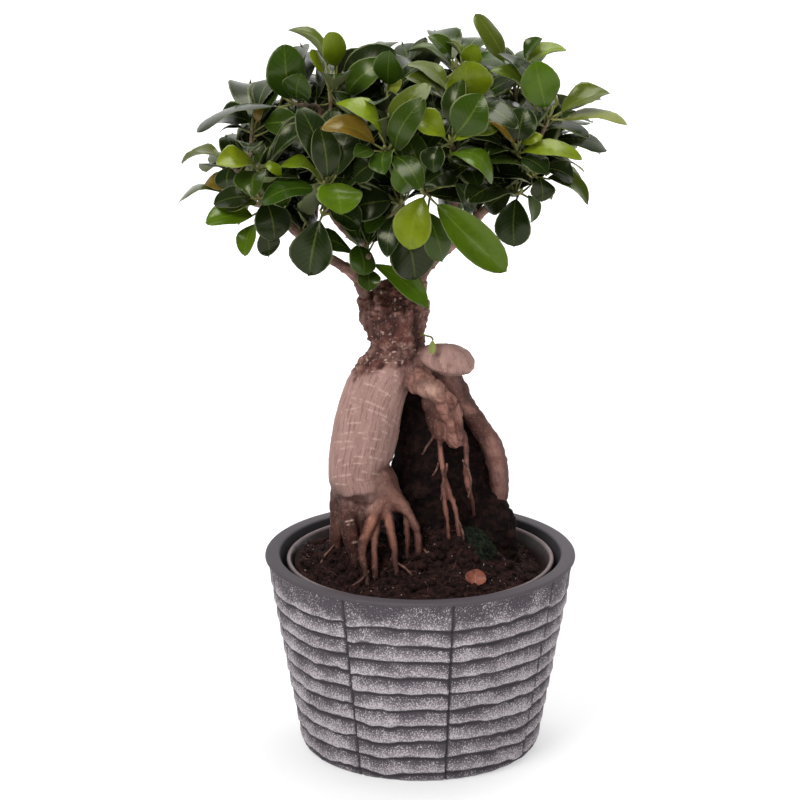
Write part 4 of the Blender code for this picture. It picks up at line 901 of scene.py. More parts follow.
soil_finish = new_finish("soil", peat, Specular_IOR_Level=0.12)
new_piece("peat", soil_mesh(), soil_finish, ["potting_soil"])


def bank_mesh():
    """Mounds of peat that cling between the roots: wide tubes, flattened from front to back."""
    parts, sides, flatness = [], 28, 0.62
    for rows in SOIL_BANKS:
        path = drawn_path(rows, 6)
        points, faces = tubes(path[None, :, :3], path[None, :, 3], sides)
        middle = np.concatenate([np.repeat(path[:, 1], sides), path[[0, -1], 1]])
        points[:, 1] = middle + (points[:, 1] - middle) * flatness
        parts.append((points, faces))
    return new_mesh("peat_banks", *join(parts))


def shaded_peat(wire):
    """Near-black clods alone, a little darker than the open soil: painted shade between the legs over
    the peat's own colour.
    """
    clods = place(wire).noise(260, 4.0, 0.65)
    colour = clods.rise(0.4, 0.72).between(paint(19, 12, 12), paint(46, 29, 25))
    return {"Base Color": colour, "Roughness": clods * 0.1 + 0.85,
            "Normal": bump(wire, clods, 0.8, 1.2 * MM)}


# near-black finish for the banks: painted shade between the legs
shaded_peat_finish = new_finish("shaded_soil", shaded_peat, Specular_IOR_Level=0.1)
banks = new_piece("peat_banks", bank_mesh(), shaded_peat_finish)
bank_points, bank_normals = melt(banks, 1.0 * MM, 1)
bank_lumps = np.abs(uneven(bank_points, 2.8 * MM, 81))
bank_push = 2.8 * rough(bank_points, 8 * MM, 80) + 1.5 * bank_lumps - 0.8
push_out(banks, bank_points, bank_normals, bank_push)

# %% Loose crumbs, fibres and specks on the soil


def scatter_on_soil(count, rng, reach=0.93):
    """Random places on the soil's top, even over its area."""
    radius = np.sqrt(rng.random(count)) * (NURSERY_RIM - NURSERY_LIP) * reach
    turn = rng.random(count) * 2 * np.pi
    x, y = radius * np.cos(turn), radius * np.sin(turn)
    return np.stack([x, y, soil_level(x, y)], -1)


def crumbs_mesh(name, count, small, large, seed):
    """Small lumps: short fat tubes of four rings, each leaning its own way."""
    rng = np.random.default_rng(seed)
    spots = scatter_on_soil(count, rng)
    size = rng.uniform(small, large, count) * MM
    lean = unit(rng.normal(size=(count, 3)))
    run = np.array([-0.75, -0.3, 0.3, 0.75])[None, :, None] * size[:, None, None]
    centres = spots[:, None] + lean[:, None] * run
    centres = centres + rng.normal(size=(count, 4, 3)) * size[:, None, None] * 0.12
    radii = size[:, None] * np.array([0.5, 0.9, 0.85, 0.45]) * rng.uniform(0.7, 1.2, (count, 4))
    points, faces = tubes(centres, radii, 6)
    return new_mesh(name, points, *faces)


def fibres_mesh(name, count, length, thick, seed, lift=0.4):
    """Thin bent strands that follow the soil: a wandering walk with its height from the soil."""
    rng = np.random.default_rng(seed)
    start = scatter_on_soil(count, rng, 0.85)
    heading = rng.random(count)[:, None] * 2 * np.pi
    heading = heading + np.cumsum(rng.normal(size=(count, 8)) * 0.5, 1)
    step = rng.uniform(0.4, 1.0, count)[:, None] * length * MM / 8
    x = start[:, :1] + np.cumsum(np.cos(heading) * step, 1)
    y = start[:, 1:2] + np.cumsum(np.sin(heading) * step, 1)
    away = np.sqrt(x**2 + y**2) / (NURSERY_RIM - 5 * MM)
    x, y = x / np.maximum(away, 1), y / np.maximum(away, 1)
    z = soil_level(x, y) + (lift + rng.random((count, 8)) * 0.9) * MM
    radii = rng.uniform(0.5, 1.0, count)[:, None] * thick * MM * np.linspace(1, 0.5, 8)
    points, faces = tubes(np.stack([x, y, z], -1), radii, 5)
    return new_mesh(name, points, *faces)


def plain_mix(dark, light, scale, roughness):
    """A finish of two earthy colours mixed by noise, with a little bump."""
    def build(wire):
        grain = place(wire).noise(scale, 3.0, 0.6)
        colour = grain.rise(0.35, 0.65).between(paint(*dark), paint(*light))
        return {"Base Color": colour, "Roughness": grain * 0.2 + roughness,
                "Normal": bump(wire, grain, 0.4, 0.3 * MM)}
    return build


fibre_finish = new_finish("soil_fibre", plain_mix((64, 38, 32), (128, 88, 76), 300, 0.65))
speck_finish = new_finish("soil_speck", plain_mix((150, 132, 122), (206, 194, 184), 900, 0.8))
new_piece("peat_crumbs", crumbs_mesh("peat_crumbs", 1500, 0.5, 1.7, 5), soil_finish)
new_piece("peat_lumps", crumbs_mesh("peat_lumps", 130, 1.6, 3.4, 6), soil_finish)
new_piece("peat_fibres", fibres_mesh("peat_fibres", 90, 10, 0.24, 7), fibre_finish)
new_piece("peat_specks", crumbs_mesh("peat_specks", 160, 0.18, 0.42, 8), speck_finish)

# %% [markdown]
# ## The branches
# Two branches are grafted on the stump, and five more grow from them. Each is a tube along a
# curve whose thickness swells a little at old leaf scars and carries fine bark.

# %% Branches, as (x, y, z, radius) points in millimetres from foot to tip
BRANCHES = {
    "branch_left": [(-26, -1, 238, 3.6), (-29, -1, 246, 3.3), (-33, -2, 254, 3.0),
                    (-40, -3, 260.5, 2.8), (-52, -6, 269, 2.6), (-65, -9, 282, 2.4),
                    (-75, -12, 294, 2.1), (-81, -14, 307, 1.9), (-85, -13, 322, 1.6)],
    "branch_right": [(-2, -2, 240, 3.6), (0, -1, 248, 3.1), (0.6, 0, 255, 2.9),
                     (8, 0, 264, 2.8), (19, 0, 274, 2.7), (29, -1, 286, 2.5), (41, -2, 297, 2.3),
                     (48, -4, 306, 2.1), (52, -5, 318, 1.8), (55, -5, 334, 1.5)],
    "branch_inner": [(-28.3, 3.6, 252, 2.1), (-29, 4, 262, 2.1), (-28, 4, 271, 2.1),
                     (-20, 2, 278, 2.0), (-14, -1, 285, 1.9), (-11, -5, 298, 1.8),
                     (-13, -9, 315, 1.7), (-17, -10, 334, 1.4)],
    "branch_inner_left": [(-31.5, 4, 271, 1.9), (-38, 3, 277, 1.9), (-45, 0, 287, 1.8),
                          (-49, -4, 302, 1.8), (-52, -6, 320, 1.6), (-51, -5, 342, 1.4)],
    "branch_inner_right": [(20, 4.2, 277, 1.9), (17, 4, 288, 1.9), (18, 1, 302, 1.8),
                           (21, -3, 318, 1.6), (22, -3, 338, 1.5), (20, -2, 354, 1.3)],
    "branch_back_left": [(-53, -0.6, 271, 2.0), (-55, 12, 277, 1.9), (-54, 28, 287, 1.8),
                         (-50, 42, 301, 1.7), (-46, 50, 320, 1.5)],
    "branch_back_right": [(27, 3.4, 288, 2.0), (24, 16, 292, 1.9), (19, 30, 299, 1.8),
                          (12, 42, 311, 1.7), (10, 48, 330, 1.5)],
}


def branch_mesh(name, rows, seed):
    """A tube whose radius is r * (1 + swelling at each scar + small lumps)."""
    path, sides = drawn_path(rows, 14), 14
    run = run_along(path)
    scar = np.exp(-(((run / MM + 3 * seed) % 11.5 - 5.7) / 0.8) ** 2)
    radius = path[:, 3] * (1 + 0.16 * scar + 0.10 * uneven(path[:, :3], 5 * MM, seed))
    points, faces = tubes(path[None, :, :3], radius[None], sides)
    middle = np.vstack([np.repeat(path[:, :3], sides, 0), path[[0, -1], :3]])
    points = points + (points - middle) * 0.16 * rough(points, 2.2 * MM, seed)[:, None]
    mesh = new_mesh(name, points, *faces)
    along = np.concatenate([np.repeat(run, sides), run[[0, -1]]])
    turn = np.concatenate([np.tile(np.arange(sides), len(run)), [0, 0]]) * path[0, 3] * 0.45
    attribute(mesh, "grain", np.stack([turn, along * 0.3, 0 * turn], -1))
    attribute(mesh, "scar", np.concatenate([np.repeat(scar, sides), scar[[0, -1]]]))
    return mesh


def branch_bark(wire):
    """Grey-brown patches with pale lines along the branch, darker at the leaf scars."""
    at = place(wire)
    lines = own(wire, "grain").noise(700, 3.0, 0.6)
    patches = at.noise(120, 3.0, 0.6)
    colour = patches.rise(0.35, 0.68).between(paint(92, 64, 56), paint(158, 122, 108))
    colour = colour.mix(lines.rise(0.5, 0.75) * 0.5, paint(188, 156, 142))
    colour = colour.mix(own(wire, "scar", "Fac") * 0.6, paint(112, 76, 64))
    return {"Base Color": colour, "Roughness": lines * 0.2 + 0.5,
            "Normal": bump(wire, lines + patches * 0.5, 0.4, 0.3 * MM)}


branch_finish = new_finish("branch_bark", branch_bark, Specular_IOR_Level=0.3)
for number, (name, rows) in enumerate(BRANCHES.items()):
    bough = name.replace("branch", "bough")
    new_piece(bough, branch_mesh(bough, rows, number + 1), branch_finish, [name])

# %% [markdown]
# ## Reading the leaves from the frame
# Each leafy shoot is one solid: a four-sided twig that ends in a bud, and leaves drawn out of its
# sides as rings of four corners that end in a point. Walking back from each point, ring by ring,
# gives the leaf's foot, width, face and arch, so the leaves here stand exactly where the solids do.

# %% Walk back from every point
WELD_GAP = 0.002 * MM


def welded(name):
    """A CAD node's separate corners, and the set of neighbours of each."""
    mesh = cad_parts[name].data
    points = np.empty(len(mesh.vertices) * 3)
    mesh.vertices.foreach_get("co", points)
    points = points.reshape(-1, 3)
    _, first, key = np.unique(np.round(points / WELD_GAP), axis=0, return_index=True,
                              return_inverse=True)
    corners = points[first]
    near = [set() for _ in corners]
    for edge in mesh.edges:
        a, b = (int(np.ravel(key)[v]) for v in edge.vertices)
        if a != b:
            near[a].add(b)
            near[b].add(a)
    return corners, near


def steps_from(start, near, left):
    """The corners one edge away from a point, then two, and so on: the rings of a tube."""
    seen, ring, rings = {start}, {start}, []
    while ring:
        ring = (set().union(*(near[v] for v in ring)) & left) - seen
        seen |= ring
        rings.append(sorted(ring))
    return rings[:-1]


def blade_rings(tip, near, left):
    """The rings of four corners behind a point, for as long as they stay rings of four."""
    rings = steps_from(tip, near, left)
    return list(itertools.takewhile(lambda ring: len(ring) == 4, rings))


def ring_size(corners, ring):
    return max(np.linalg.norm(corners[a] - corners[b]) for a in ring for b in ring)


def read_leaf(corners, tip, rings):
    """Foot, tip, upper face, width and arch of a blade, from its rings of four corners."""
    widest = max(rings, key=lambda ring: ring_size(corners, ring))
    pairs = [(a, b) for a in widest for b in widest if a < b]
    side = max(pairs, key=lambda pair: np.linalg.norm(corners[pair[0]] - corners[pair[1]]))
    ridge = [v for v in widest if v not in side]
    normal = corners[list(side)].mean(0) - corners[ridge].mean(0)
    foot = corners[rings[-1]].mean(0)
    along = unit(corners[tip] - foot)
    normal = unit(normal - along * normal.dot(along))
    middle = corners[ridge].mean(0) - foot
    share = middle.dot(along) / np.linalg.norm(corners[tip] - foot)
    arch = middle.dot(normal) / (4 * share * (1 - share))
    return foot, corners[tip], normal, ring_size(corners, widest), arch


def read_shoot(name):
    """The leaves of a shoot with where their stalks start, and the middle line of its twig."""
    corners, near = welded(name)
    left = set(range(len(corners)))
    leaves = []
    for tip in range(len(corners)):
        if len(near[tip]) != 4:
            continue
        rings = blade_rings(tip, near, left)
        sizes = [ring_size(corners, ring) for ring in rings]
        feet = [i for i in range(2, len(rings) - 1) if sizes[i] < 0.3 * max(sizes[:i])]
        if feet and feet[0] < 4:
            blade = rings[:feet[0] + 1]
            stalk = corners[rings[feet[0] + 1]].mean(0)
            leaves.append((*read_leaf(corners, tip, blade), stalk, len(blade)))
            left -= {tip}.union(*blade)
    bud = min(sorted(left),
              key=lambda v: sum(abs(len(ring) - 4) for ring in steps_from(v, near, left)))
    line = np.array([corners[ring].mean(0) for ring in steps_from(bud, near, left)])
    return leaves, np.vstack([corners[bud], line])[::-1]


shoot_names = sorted(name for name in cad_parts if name.startswith("leafy_shoot"))
read = [read_shoot(name) for name in shoot_names]
cad_leaves = [leaf for leaves, _ in read for leaf in leaves]
twig_lines = [line for _, line in read]
ring_counts = sorted({len(line) for line in twig_lines})
print("shoots:", len(read), "leaves:", len(cad_leaves), "twig rings:", ring_counts)

# %% [markdown]
# ## The leaves
# A fig's leaf is a leathery oval on a short stalk: glossy dark green above with a pale midrib and
# a thin yellowish margin, dull grey-green below. The blade is a closed skin: u runs from foot to
# tip, and an angle runs round its cross-section, so the top, the margin and the underside are one
# grid. All leaves are worked out together as one big array.

# %% Tones of the leaves at the front, each by where its tip stands (x, z) in millimetres.
# Each tone is partly the leaf's own green and partly painted light and shade: the dark tones
# paint shade on shaded leaves, the grey and pale ones the sheen on lit leaves.
LEAF_TONES = {
    "d": [(-103, 338), (-51, 342), (-99, 328), (-98, 300), (-104, 293), (-74, 274), (-77, 265),
          (-47, 347), (-14, 371), (-50, 331), (-35, 331), (-57, 256), (-31, 281), (-34, 306),
          (-37, 290), (-3, 254), (21, 260), (25, 291), (25, 286), (17, 310), (6, 309), (35, 310),
          (61, 324), (62, 308), (52, 341), (94, 321), (34, 308), (61, 294), (77, 305), (47, 271),
          (33, 290)],
    "m": [(-84, 297), (-62, 334), (-106, 270), (-68, 373), (-60, 359), (-20, 366), (-79, 295),
          (-16, 370), (-1, 344), (-33, 317), (-19, 309), (-3, 323), (-28, 279), (-29, 256), (-26, 248),
          (11, 263), (30, 347), (4, 379), (-6, 373), (44, 367), (60, 378), (57, 283)],
    "b": [(-84, 334), (-108, 283), (-89, 266), (-40, 288), (-13, 311), (3, 239), (42, 259), (34, 303),
          (42, 383), (57, 365)],
    "y": [(-101, 313), (-70, 308), (-55, 372), (-46, 380), (-70, 311), (3, 371), (-41, 344), (-6, 270),
          (-6, 337), (37, 333), (22, 364), (28, 374), (72, 373), (79, 317), (60, 327)],
    "o": [(-112, 330), (-80, 343), (-110, 304), (-48, 332), (34, 335)],
    "g": [(-122, 315), (-125, 294), (-98, 290), (-96, 344), (-64, 384), (-10, 384), (3, 360), (2, 354),
          (-7, 357), (-6, 364), (13, 377), (28, 390), (86, 367), (36, 362), (94, 349), (84, 293)],
    "p": [(-11, 357), (67, 351), (102, 333)],
}
PALETTE = {
    "d": (24, 36, 10), "m": (43, 62, 10), "b": (70, 96, 10), "y": (102, 118, 16),
    "o": (106, 84, 26), "g": (70, 80, 18), "p": (112, 116, 40),
}
SIGHT_SLOPE = 0.25  # a tip that stands nearer the front looks lower by this share


def front_view(points):
    """Where points stand in the front view, in millimetres: across and up."""
    return np.stack([points[..., 0], points[..., 2] - LIFT + SIGHT_SLOPE * points[..., 1]], -1) / MM


def leaf_tones(tips, drawn, rng):
    """The tone of the nearest listed tip for drawn leaves, and for others dark or middle green dimmed
    as painted shade inside the crown.
    """
    listed = [(spot, tone) for tone, spots in LEAF_TONES.items() for spot in spots]
    spots = np.array([spot for spot, _ in listed])
    apart = np.linalg.norm(front_view(tips)[:, None] - spots, axis=-1)
    tones = np.array([hue(*PALETTE[listed[i][1]]) for i in apart.argmin(1)])
    dark, middle = (hue(*PALETTE[key]) for key in "dm")
    share = (rng.random(len(tips)) ** 2)[:, None]
    # painted shade: leaves inside the crown get dimmed dark and middle greens
    crown_shade_tone = dark * 0.8 * (1 - share) + middle * 0.8 * share
    listed_near = drawn & (apart.min(1) < 16)
    tones = np.where(listed_near[:, None], tones, crown_shade_tone)
    tones = tones * rng.uniform(0.86, 1.14, (len(tips), 1))
    return tones * rng.uniform(0.93, 1.07, (len(tips), 3))


def blades(foot, tip, normal, width, arch, tone, rings, sides, rng, thick=0.42):
    """
    Points of closed blades, in the order of ringed_faces, and their marks and tones.
    u is the share of the way from foot to tip and v = cos(angle) runs from margin to margin.
    half width  h = width / 2 * sin(pi * u ** a) ** b, with a near 1.22 and b near 0.58
    rise        4 * arch * u * (1 - u) + a hump - a curl that grows as u ** 3, plus a cup
                0.18 * h * v ** 2 and a slight wave along the margins
    thickness   body = thick * (1 - v ** 2) ** 0.75 to either side, thinner towards both ends,
                with a groove along the midrib
    Six random numbers for each leaf vary its outline, cup, curl, twist, wave and sideways sway.
    """
    count = len(foot)
    u = ((1 - np.cos(np.linspace(0.09, np.pi - 0.10, rings))) / 2)[None, :, None]
    angle = (np.arange(sides) * 2 * np.pi / sides)[None, None, :]
    v, upper = np.cos(angle) + 0 * u, np.sin(angle) + 0 * u
    length = np.linalg.norm(tip - foot, axis=-1)[:, None, None]
    along = unit(tip - foot)[:, None, None]
    side = np.cross(normal, along[:, 0, 0])[:, None, None]
    face = normal[:, None, None]
    wild = rng.uniform(-1, 1, (6, count, 1, 1))
    twist = 0.22 * wild[0] * (u - 0.3)
    side, face = (side * np.cos(twist)[..., None] + face * np.sin(twist)[..., None],
                  face * np.cos(twist)[..., None] - side * np.sin(twist)[..., None])
    oval = np.sin(np.pi * u ** (1.22 + 0.14 * wild[1])) ** (0.58 + 0.08 * wild[4])
    half = width[:, None, None] / 2 * oval
    cup = (0.18 + 0.3 * wild[2]) * half * v**2
    wave = 0.12 * half * v * np.abs(v) * np.sin(2 * np.pi * (1.3 * u + wild[3]))
    body = thick * MM * upper * np.sqrt(np.abs(upper)) * (0.35 + 0.65 * np.sin(np.pi * u))
    groove = 0.35 * MM * np.exp(-(v / 0.2) ** 2) * np.sin(np.pi * u)
    rise = 4 * arch[:, None, None] * u * (1 - u)
    rise = rise + (0.05 + 0.05 * wild[4]) * length * (0.25 - (u - 0.5) ** 2)
    rise = rise - (0.06 + 0.07 * wild[0]) * length * u**3
    sway = 0.05 * wild[5] * length * np.sin(np.pi * u)
    points = (foot[:, None, None] + along * (length * u)[..., None]
              + side * (half * v + sway)[..., None]
              + face * (rise + cup + wave + body - groove)[..., None])
    marks = np.stack([u + 0 * half + 0 * v, v + 0 * half, (upper > 0.01) * 1.0 + 0 * half], -1)
    poles = np.stack([foot, tip + unit(tip - foot) * 0.3 * MM], 1)
    pole_marks = np.zeros((count, 2, 3)) + [[0, 0, 0.5], [1, 0, 0.5]]
    tones = np.repeat(tone, rings * sides + 2, 0)
    return ringed_points(points, poles), ringed_points(marks, pole_marks), tones


def stalks(start, foot, tip, thick=0.62):
    """Short stalks from twig to blade: bent tubes along a quadratic curve."""
    t = np.linspace(0, 1, 6)[None, :, None]
    reach = np.linalg.norm(foot - start, axis=-1)[:, None]
    end = foot + unit(tip - foot) * 1.5 * MM
    bend = (start + foot) / 2 - unit(tip - foot) * reach * 0.15 - [0, 0, 0.8 * MM]
    line = (start[:, None] * (1 - t) ** 2 + 2 * bend[:, None] * t * (1 - t) + end[:, None] * t**2)
    radii = np.linspace(1.15, 0.75, 6) * thick * MM + 0 * reach
    return tubes(line, radii, 6)


# %% More leaves inside the crown


CROWN_MIDDLE = (-10, 317)
CROWN_REACH = (104, 50)
CROWN_DEPTH = 78 * MM
BRANCH_LEAVES = 16
TRIES = 14


def crown_share(points):
    """Below 1 inside the crown: a squarish oval seen from the front."""
    apart = np.abs(front_view(points) - CROWN_MIDDLE) / CROWN_REACH
    return (apart**2.5).sum(-1)


def has_room(foot, tip, shown):
    """
    Whether a leaf here stays in the crown, behind the leaves at the front, and leaves open the
    notch at the crown's top and the space under its sides.
    """
    spots = foot + (tip - foot) * np.array([0.1, 0.4, 0.7, 1.0])[:, None]
    apart = np.linalg.norm(front_view(spots)[:, None] - front_view(shown), axis=-1)
    before = (apart < 7.5) & (spots[:, 1:2] < shown[:, 1] + 4 * MM)
    across, up = front_view(tip)
    notch = abs(across + 14) < 16 and up > 366
    open_side = up < 292 or (across > 46 and up < 304)
    if before.any() or notch or (open_side and tip[1] < 30 * MM):
        return False
    return crown_share(tip) < 1 and abs(tip[1]) < CROWN_DEPTH


def inner_leaves(front, per_twig, rng):
    """
    Leaves set at random round each twig and branch, which fill the crown's inside. Each gets
    some tries to find a place with room, and is left out if it finds none.
    """
    shown = np.concatenate([front[0] * (1 - s) + front[1] * s for s in (0.15, 0.4, 0.65, 0.9)])
    lines = twig_lines + [drawn_path(rows, 4)[8:, :3] for rows in BRANCHES.values()]
    kept = []
    for number, line in enumerate(lines):
        axis = unit(line[-1] - line[0])
        for _ in range(per_twig if number < len(twig_lines) else BRANCH_LEAVES):
            for _ in range(TRIES):
                at = line[int(rng.integers(1, len(line)))]
                heading = unit(rng.normal(size=3) + axis * 0.7 + np.array([0, 0.25, 0.1]))
                length = rng.uniform(24, 36) * MM
                foot = at + heading * rng.uniform(5, 9) * MM
                tip = foot + heading * length
                if has_room(foot, tip, shown):
                    face = np.array([0, -0.35, 1]) + rng.normal(size=3) * 0.25
                    normal = unit(face - heading * face.dot(heading))
                    width = length * rng.uniform(0.46, 0.58)
                    kept.append((foot, tip, normal, width, length * 0.08, at))
                    break
    return [np.array(values) for values in zip(*kept)]


# %% Build the crown
rng = np.random.default_rng(11)
foot, tip, normal, width, arch, start = (np.array([leaf[i] for leaf in cad_leaves])
                                         for i in range(6))
drawn = np.array([leaf[6] == 4 for leaf in cad_leaves])
tone = leaf_tones(tip, drawn, rng)
reach = tip - foot
width = width * np.where(drawn, 1.12, 1.1)
tip = tip + reach * 0.03
extra = inner_leaves((foot[drawn], tip[drawn]), 9, rng)
extra_tone = leaf_tones(extra[1], np.zeros(len(extra[0]), bool), rng)


def leaf_finish(wire):
    """A leaf's own green above, with veins, midrib and margin, and a dull green below."""
    at = place(wire)
    tone = own(wire, "tone", "Color")
    along, across, upper = own(wire, "marks").split()
    off = abs(across)
    mottle = at.noise(170, 3.0, 0.6)
    colour = tone.mix(mottle.rise(0.45, 0.75) * 0.28, paint(24, 40, 20))
    vein = wire.maths("SINE", along * 62 - off * 16).rise(0.75, 1.0) * (1 - off) * upper
    colour = colour.mix(vein * 0.05, paint(140, 152, 80))
    midrib = (0.07 - off).rise(0.0, 0.05)
    colour = colour.mix(midrib * 0.4 * (1 - along * 0.7), paint(118, 136, 52))
    colour = colour.mix(off.rise(0.955, 0.995) * 0.5, paint(150, 154, 70))
    dull = tone.mix(0.62, paint(128, 136, 92))
    colour = dull.mix(upper, colour)
    ripple = at.noise(300, 2.0)
    return {"Base Color": colour, "Roughness": (1 - upper) * 0.25 + ripple * 0.14 + 0.16,
            "Normal": bump(wire, vein * 0.5 + ripple * 0.5, 0.18, 0.3 * MM)}


def crown_piece(name, data, tones, rings, sides, replaces=()):
    """Many blades as one piece, each a grid of rings * sides points."""
    points, marks, tone_points = blades(*data[:5], tones, rings, sides, rng)
    mesh = new_mesh(name, points, *ringed_faces(len(data[0]), rings, sides))
    attribute(mesh, "marks", marks)
    attribute(mesh, "tone", np.clip(tone_points, 0, 1))
    return new_piece(name, mesh, green_finish, replaces)


green_finish = new_finish("leaf", leaf_finish, Specular_IOR_Level=0.26,
                          Specular_Tint=(1, 1, 0.72, 1))
shown = (foot, tip, normal, width, arch)
crown_piece("leaves", shown, tone, 12, 14, shoot_names)
crown_piece("inner_leaves", extra, extra_tone, 8, 8)


def stalk_skin(wire):
    """Soft yellow-green."""
    grain = place(wire).noise(400, 2.0)
    colour = grain.rise(0.35, 0.65).between(paint(80, 88, 32), paint(124, 122, 58))
    return {"Base Color": colour, "Roughness": grain * 0.1 + 0.4}


stalk_finish = new_finish("leaf_stalk", stalk_skin)
all_start, all_foot, all_tip = (np.concatenate([a, b]) for a, b in
                                ((start, extra[5]), (foot, extra[0]), (tip, extra[1])))
stalk_points, stalk_faces = stalks(all_start, all_foot, all_tip)
stalk_mesh = new_mesh("leaf_stalks", stalk_points, *stalk_faces)
new_piece("leaf_stalks", stalk_mesh, stalk_finish)


def twig_mesh():
    """All twigs, each smoothed and thinned towards its bud, which is a slim green point."""
    rows = [np.linspace(0, len(line) - 1, 6).round().astype(int) for line in twig_lines]
    lines = np.array([smooth_path(line[row], 4) for line, row in zip(twig_lines, rows)])
    first = unit(lines[:, 0] - lines[:, 1])
    lines[:, 0] += first * 2.2 * MM
    share = np.linspace(0, 1, lines.shape[1])
    bud = np.where(share > 0.93, 1.1 - 1.0 * (share - 0.93) / 0.07, 1)
    radii = (1.55 - 0.75 * share) * MM * bud
    radii = radii * (1 + 0.15 * uneven(lines, 4 * MM, 90))
    points, faces = tubes(lines, radii, 8)
    mesh = new_mesh("twigs", points, *faces)
    green = np.repeat(share, 8)[None].repeat(len(lines), 0)
    attribute(mesh, "green", np.concatenate([green, np.tile([0.0, 1.0], (len(lines), 1))], 1).ravel())
    return mesh


def twig_skin(wire):
    """Brown, and green at the bud."""
    grain = place(wire).noise(500, 3.0, 0.6)
    colour = grain.rise(0.35, 0.68).between(paint(70, 52, 38), paint(118, 98, 74))
    colour = colour.mix(own(wire, "green", "Fac").rise(0.72, 1.0) * 0.8, paint(128, 136, 60))
    return {"Base Color": colour, "Roughness": grain * 0.2 + 0.45,
            "Normal": bump(wire, grain, 0.3, 0.2 * MM)}


new_piece("twigs", twig_mesh(), new_finish("twig_bark", twig_skin))
print("leaves:", len(foot), "from the frame and", len(extra[0]), "inside the crown")

# %% [markdown]
# ## Moss, a fallen leaf, a sprout and fine rootlets
# A patch of moss is a low cushion under hundreds of short tufts. The fallen leaf is the same blade
# as the others, curled and dry. The sprout is one stalk with one young leaf.

# %% Moss
MOSS_AT = (31 * MM, -13 * MM)
MOSS_REACH = (9 * MM, 7 * MM)


def moss_cushion():
    """A flat dome: rings of an oval that lie on the soil, raised by 3 mm * (1 - share ** 3)."""
    share = np.linspace(1, 0.03, 16)[:, None]
    turn = np.arange(48) * np.pi / 24
    wobble = 1 + 0.18 * np.sin(3 * turn + 0.7) + 0.06 * np.sin(7 * turn)
    x = MOSS_AT[0] + MOSS_REACH[0] * share * wobble * np.cos(turn)
    y = MOSS_AT[1] + MOSS_REACH[1] * share * wobble * np.sin(turn)
    ground = soil_level(x, y)
    spot = np.stack([x, y, 0 * x], -1)
    z = ground + (3.0 * (1 - share**3) + 0.7 * np.abs(uneven(spot, 1.6 * MM, 95)) - 0.2) * MM
    under = np.stack([x[:2], y[:2], ground[:2] - 2 * MM], -1)[::-1]
    rings = np.concatenate([under, np.stack([x, y, z], -1)])[None]
    poles = np.array([[under[0].mean(0), rings[0, -1].mean(0)]])
    return new_mesh("moss", ringed_points(rings, poles), *ringed_faces(*rings.shape[:3]))


def moss_tufts(count, seed):
    """Short leaning cones: three rings each, thin at the top."""
    rng = np.random.default_rng(seed)
    far, turn = np.sqrt(rng.random(count)), rng.random(count) * 2 * np.pi
    x = MOSS_AT[0] + MOSS_REACH[0] * far * np.cos(turn)
    y = MOSS_AT[1] + MOSS_REACH[1] * far * np.sin(turn)
    foot = np.stack([x, y, soil_level(x, y) + 2.4 * MM * (1 - far**3)], -1)
    lean = unit(rng.normal(size=(count, 3)) * 0.45 + [0, 0, 1])
    lean = lean * rng.uniform(0.8, 2.0, (count, 1)) * MM
    line = foot[:, None] + lean[:, None] * np.array([0, 0.5, 1.0])[:, None]
    radii = np.full((count, 1), 0.30 * MM) * np.array([1, 0.8, 0.25])
    points, faces = tubes(line, radii, 4)
    return new_mesh("moss_tufts", points, *faces)


moss_finish = new_finish("moss", plain_mix((18, 24, 18), (50, 56, 42), 500, 0.85),
                         Specular_IOR_Level=0.1)
new_piece("moss", moss_cushion(), moss_finish, ["moss_patch"])
new_piece("moss_tufts", moss_tufts(900, 12), moss_finish)

# %% Fallen leaf and sprout
leaf_low, leaf_high = (np.array(corner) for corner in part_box("fallen_leaf"))


def dry_blade(wire):
    """Red-brown, paler on one half and along the midrib."""
    across = own(wire, "marks").split()[1]
    off = abs(across)
    blotch = place(wire).noise(420, 3.0, 0.65)
    colour = blotch.rise(0.35, 0.65).between(paint(104, 50, 38), paint(150, 86, 64))
    colour = colour.mix(across.rise(-0.15, 0.2) * 0.4, paint(164, 94, 70))
    colour = colour.mix((0.07 - off).rise(0.0, 0.05) * 0.5, paint(190, 134, 104))
    return {"Base Color": colour, "Roughness": blotch * 0.2 + 0.45,
            "Normal": bump(wire, blotch, 0.4, 0.4 * MM)}


def lone_blade(name, foot, tip, face, width, arch, tone, finish, node):
    """One blade on its own, in the same way as the crown's."""
    rings = sides = 16
    foot, tip, face = (np.array([v], float) for v in (foot, tip, face))
    along = unit(tip - foot)
    normal = unit(face - along * (face * along).sum())
    own_rng = np.random.default_rng(3)
    points, marks, tones = blades(foot, tip, normal, np.array([width]), np.array([arch]),
                                  hue(*tone)[None], rings, sides, own_rng, 0.3)
    mesh = new_mesh(name, points, *ringed_faces(1, rings, sides))
    attribute(mesh, "marks", marks)
    attribute(mesh, "tone", tones)
    return new_piece(name, mesh, finish, [node])


